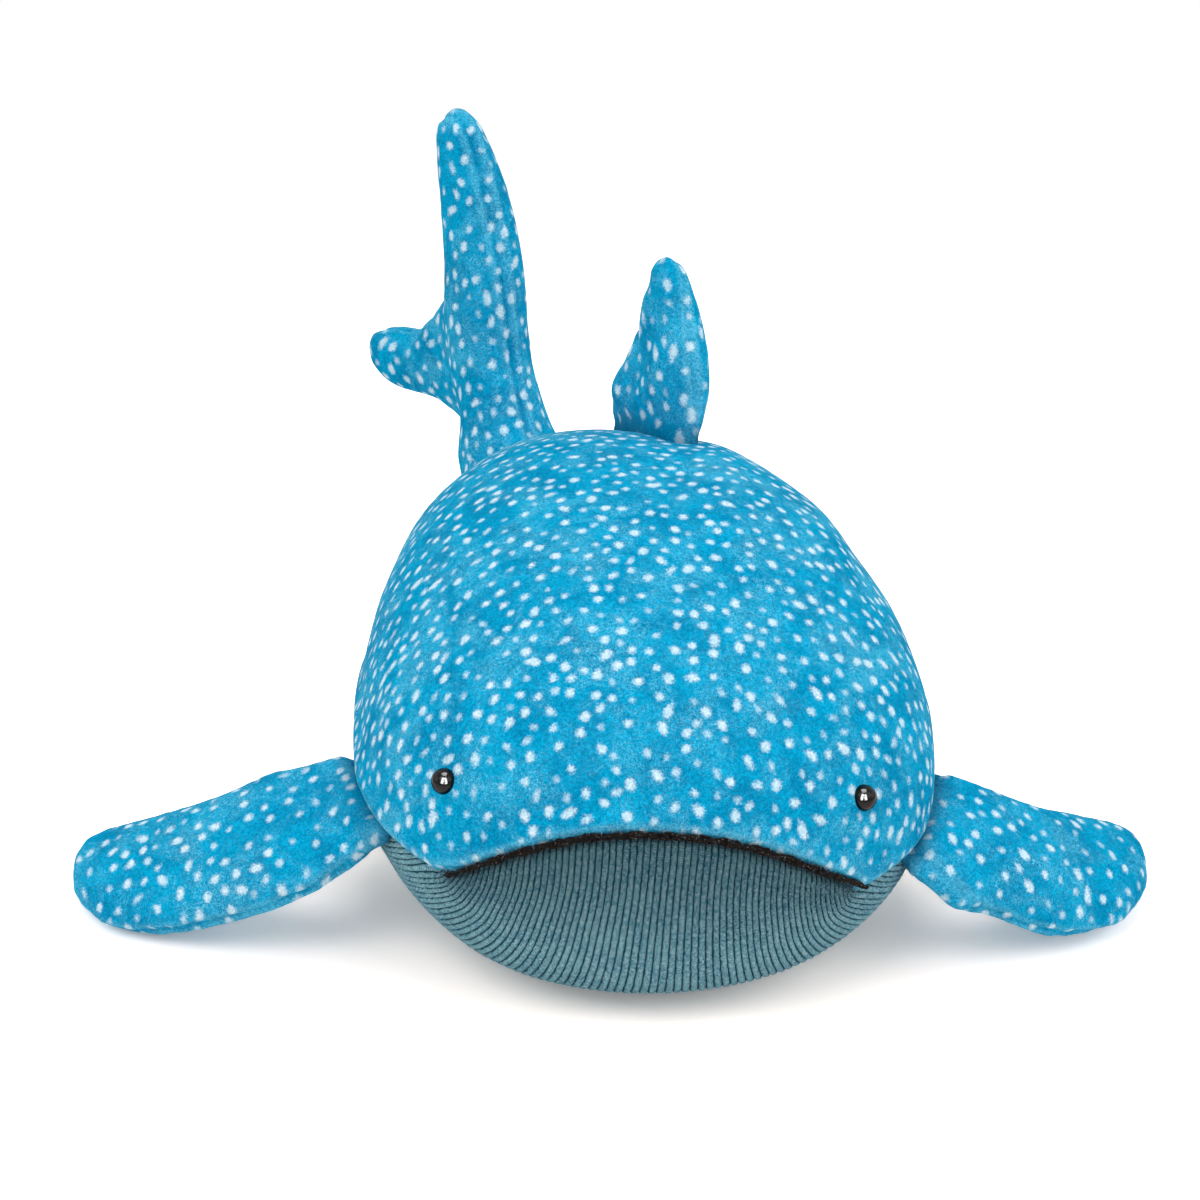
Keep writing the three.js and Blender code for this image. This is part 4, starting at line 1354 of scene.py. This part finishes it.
def add_camera():
    a, e = CAMERA_AZIMUTH, CAMERA_ELEVATION
    back = Vector((math.sin(a) * math.cos(e), -math.cos(a) * math.cos(e), math.sin(e)))
    data = bpy.data.cameras.new("camera")
    data.lens = data.sensor_width * CAMERA_FOCAL_PIXELS / FRAME_PIXELS
    data.clip_end = 20
    camera = new_object("camera", data)
    camera.rotation_mode = "QUATERNION"
    camera.location = CAMERA_TARGET + back * CAMERA_DISTANCE
    roll = Quaternion((0, 0, 1), CAMERA_ROLL)
    camera.rotation_quaternion = (-back).to_track_quat("-Z", "Y") @ roll
    bpy.context.scene.camera = camera


def add_lamp(name, place, size, watts, only_gloss):
    data = bpy.data.lights.new(name, "AREA")
    data.shape = "RECTANGLE"
    data.size, data.size_y = size
    data.energy = watts
    lamp = new_object(name, data)
    lamp.location = place
    lamp.rotation_euler = (LAMP_AIM - Vector(place)).to_track_quat("-Z", "Y").to_euler()
    lamp.visible_diffuse = not only_gloss
    lamp.visible_camera = not only_gloss


def plain_sight(tree):
    """1 where the camera, a gloss or clear plastic sees the surface, and 0 for other light."""
    path = tree.nodes.new("ShaderNodeLightPath").outputs
    sight = maths(tree, "MAXIMUM", path["Is Camera Ray"], path["Is Glossy Ray"])
    return maths(tree, "MAXIMUM", sight, path["Is Transmission Ray"])


def add_world():
    world = bpy.data.worlds.new("studio")
    bpy.context.scene.world = world
    world.use_nodes = True
    tree = world.node_tree
    background = tree.nodes["Background"]
    strength = mapped(tree, plain_sight(tree), 0, 1, WORLD_LIGHT, 1.0, smooth=False)
    tree.links.new(strength, background.inputs["Strength"])
    background.inputs["Color"].default_value = WHITE


def add_floor():
    """A pale floor that keeps the shadow and runs out into white."""
    floor = started_from("floor", bpy.ops.mesh.primitive_plane_add, size=FLOOR_SIZE)
    material, tree, shader = new_material("floor_white", Roughness=1.0, Specular_IOR_Level=0.0)
    far = mapped(tree, length_of(tree, object_place(tree)), *FLOOR_FADE)
    seen = times(tree, maths(tree, "SUBTRACT", 1.0, far), FLOOR_BRIGHTNESS)
    sight = plain_sight(tree)
    brightness = mapped(tree, sight, 0, 1, FLOOR_BOUNCE, seen, smooth=False)
    warm = mixed(tree, sight, WHITE, FLOOR_WARMTH)
    colour = add_node(tree, "VectorMath", {"operation": "SCALE"}, i0=warm, Scale=brightness)
    matte = add_node(tree, "BsdfDiffuse", None, Color=colour.outputs[0])
    glowing = mapped(tree, far, 0, 1, FLOOR_GLOW, 1, smooth=False)
    glow = add_node(tree, "Emission", None, Strength=times(tree, sight, glowing))
    both = add_node(tree, "AddShader", None, i0=matte.outputs[0], i1=glow.outputs[0])
    tree.links.new(both.outputs[0], tree.nodes["Material Output"].inputs["Surface"])
    tree.nodes.remove(shader)
    floor.data.materials.append(material)


# Making

add_camera()
add_world()
add_floor()
for lamp in LAMPS:
    add_lamp(*lamp)

plush = plush_material()
knit = knit_material()
yarn = yarn_material()
bead = moulded_material("eye_black", BEAD_BLACK, 0.2, Roughness=0.04, Specular_IOR_Level=0.2)
washer = moulded_material("washer_white", WASHER_WHITE, 0.05, Roughness=0.5)

form = body_form()
body = tree_of(form)

back, mouth_rim = back_panel(body)
print_dots(back, BODY_DOT_SPACING, 11)
give(back, plush, "torso")
give(mouth_rim, plush, "torso")
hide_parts("back_panel", "body_filling")

belly = belly_panel(body)
give(belly, knit, "torso")
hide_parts("belly_panel")

mouth_yarn(body, yarn)
bpy.data.objects.remove(form)

for side in ("left", "right"):
    bead_eye(side, bead)
    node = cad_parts[f"{side}_eye_washer"]
    node.data.materials.clear()
    node.data.materials.append(washer)

side_fin("left", body, plush)
side_fin("right", body, plush)
back_fin(body, plush)
tail_fin(plush)
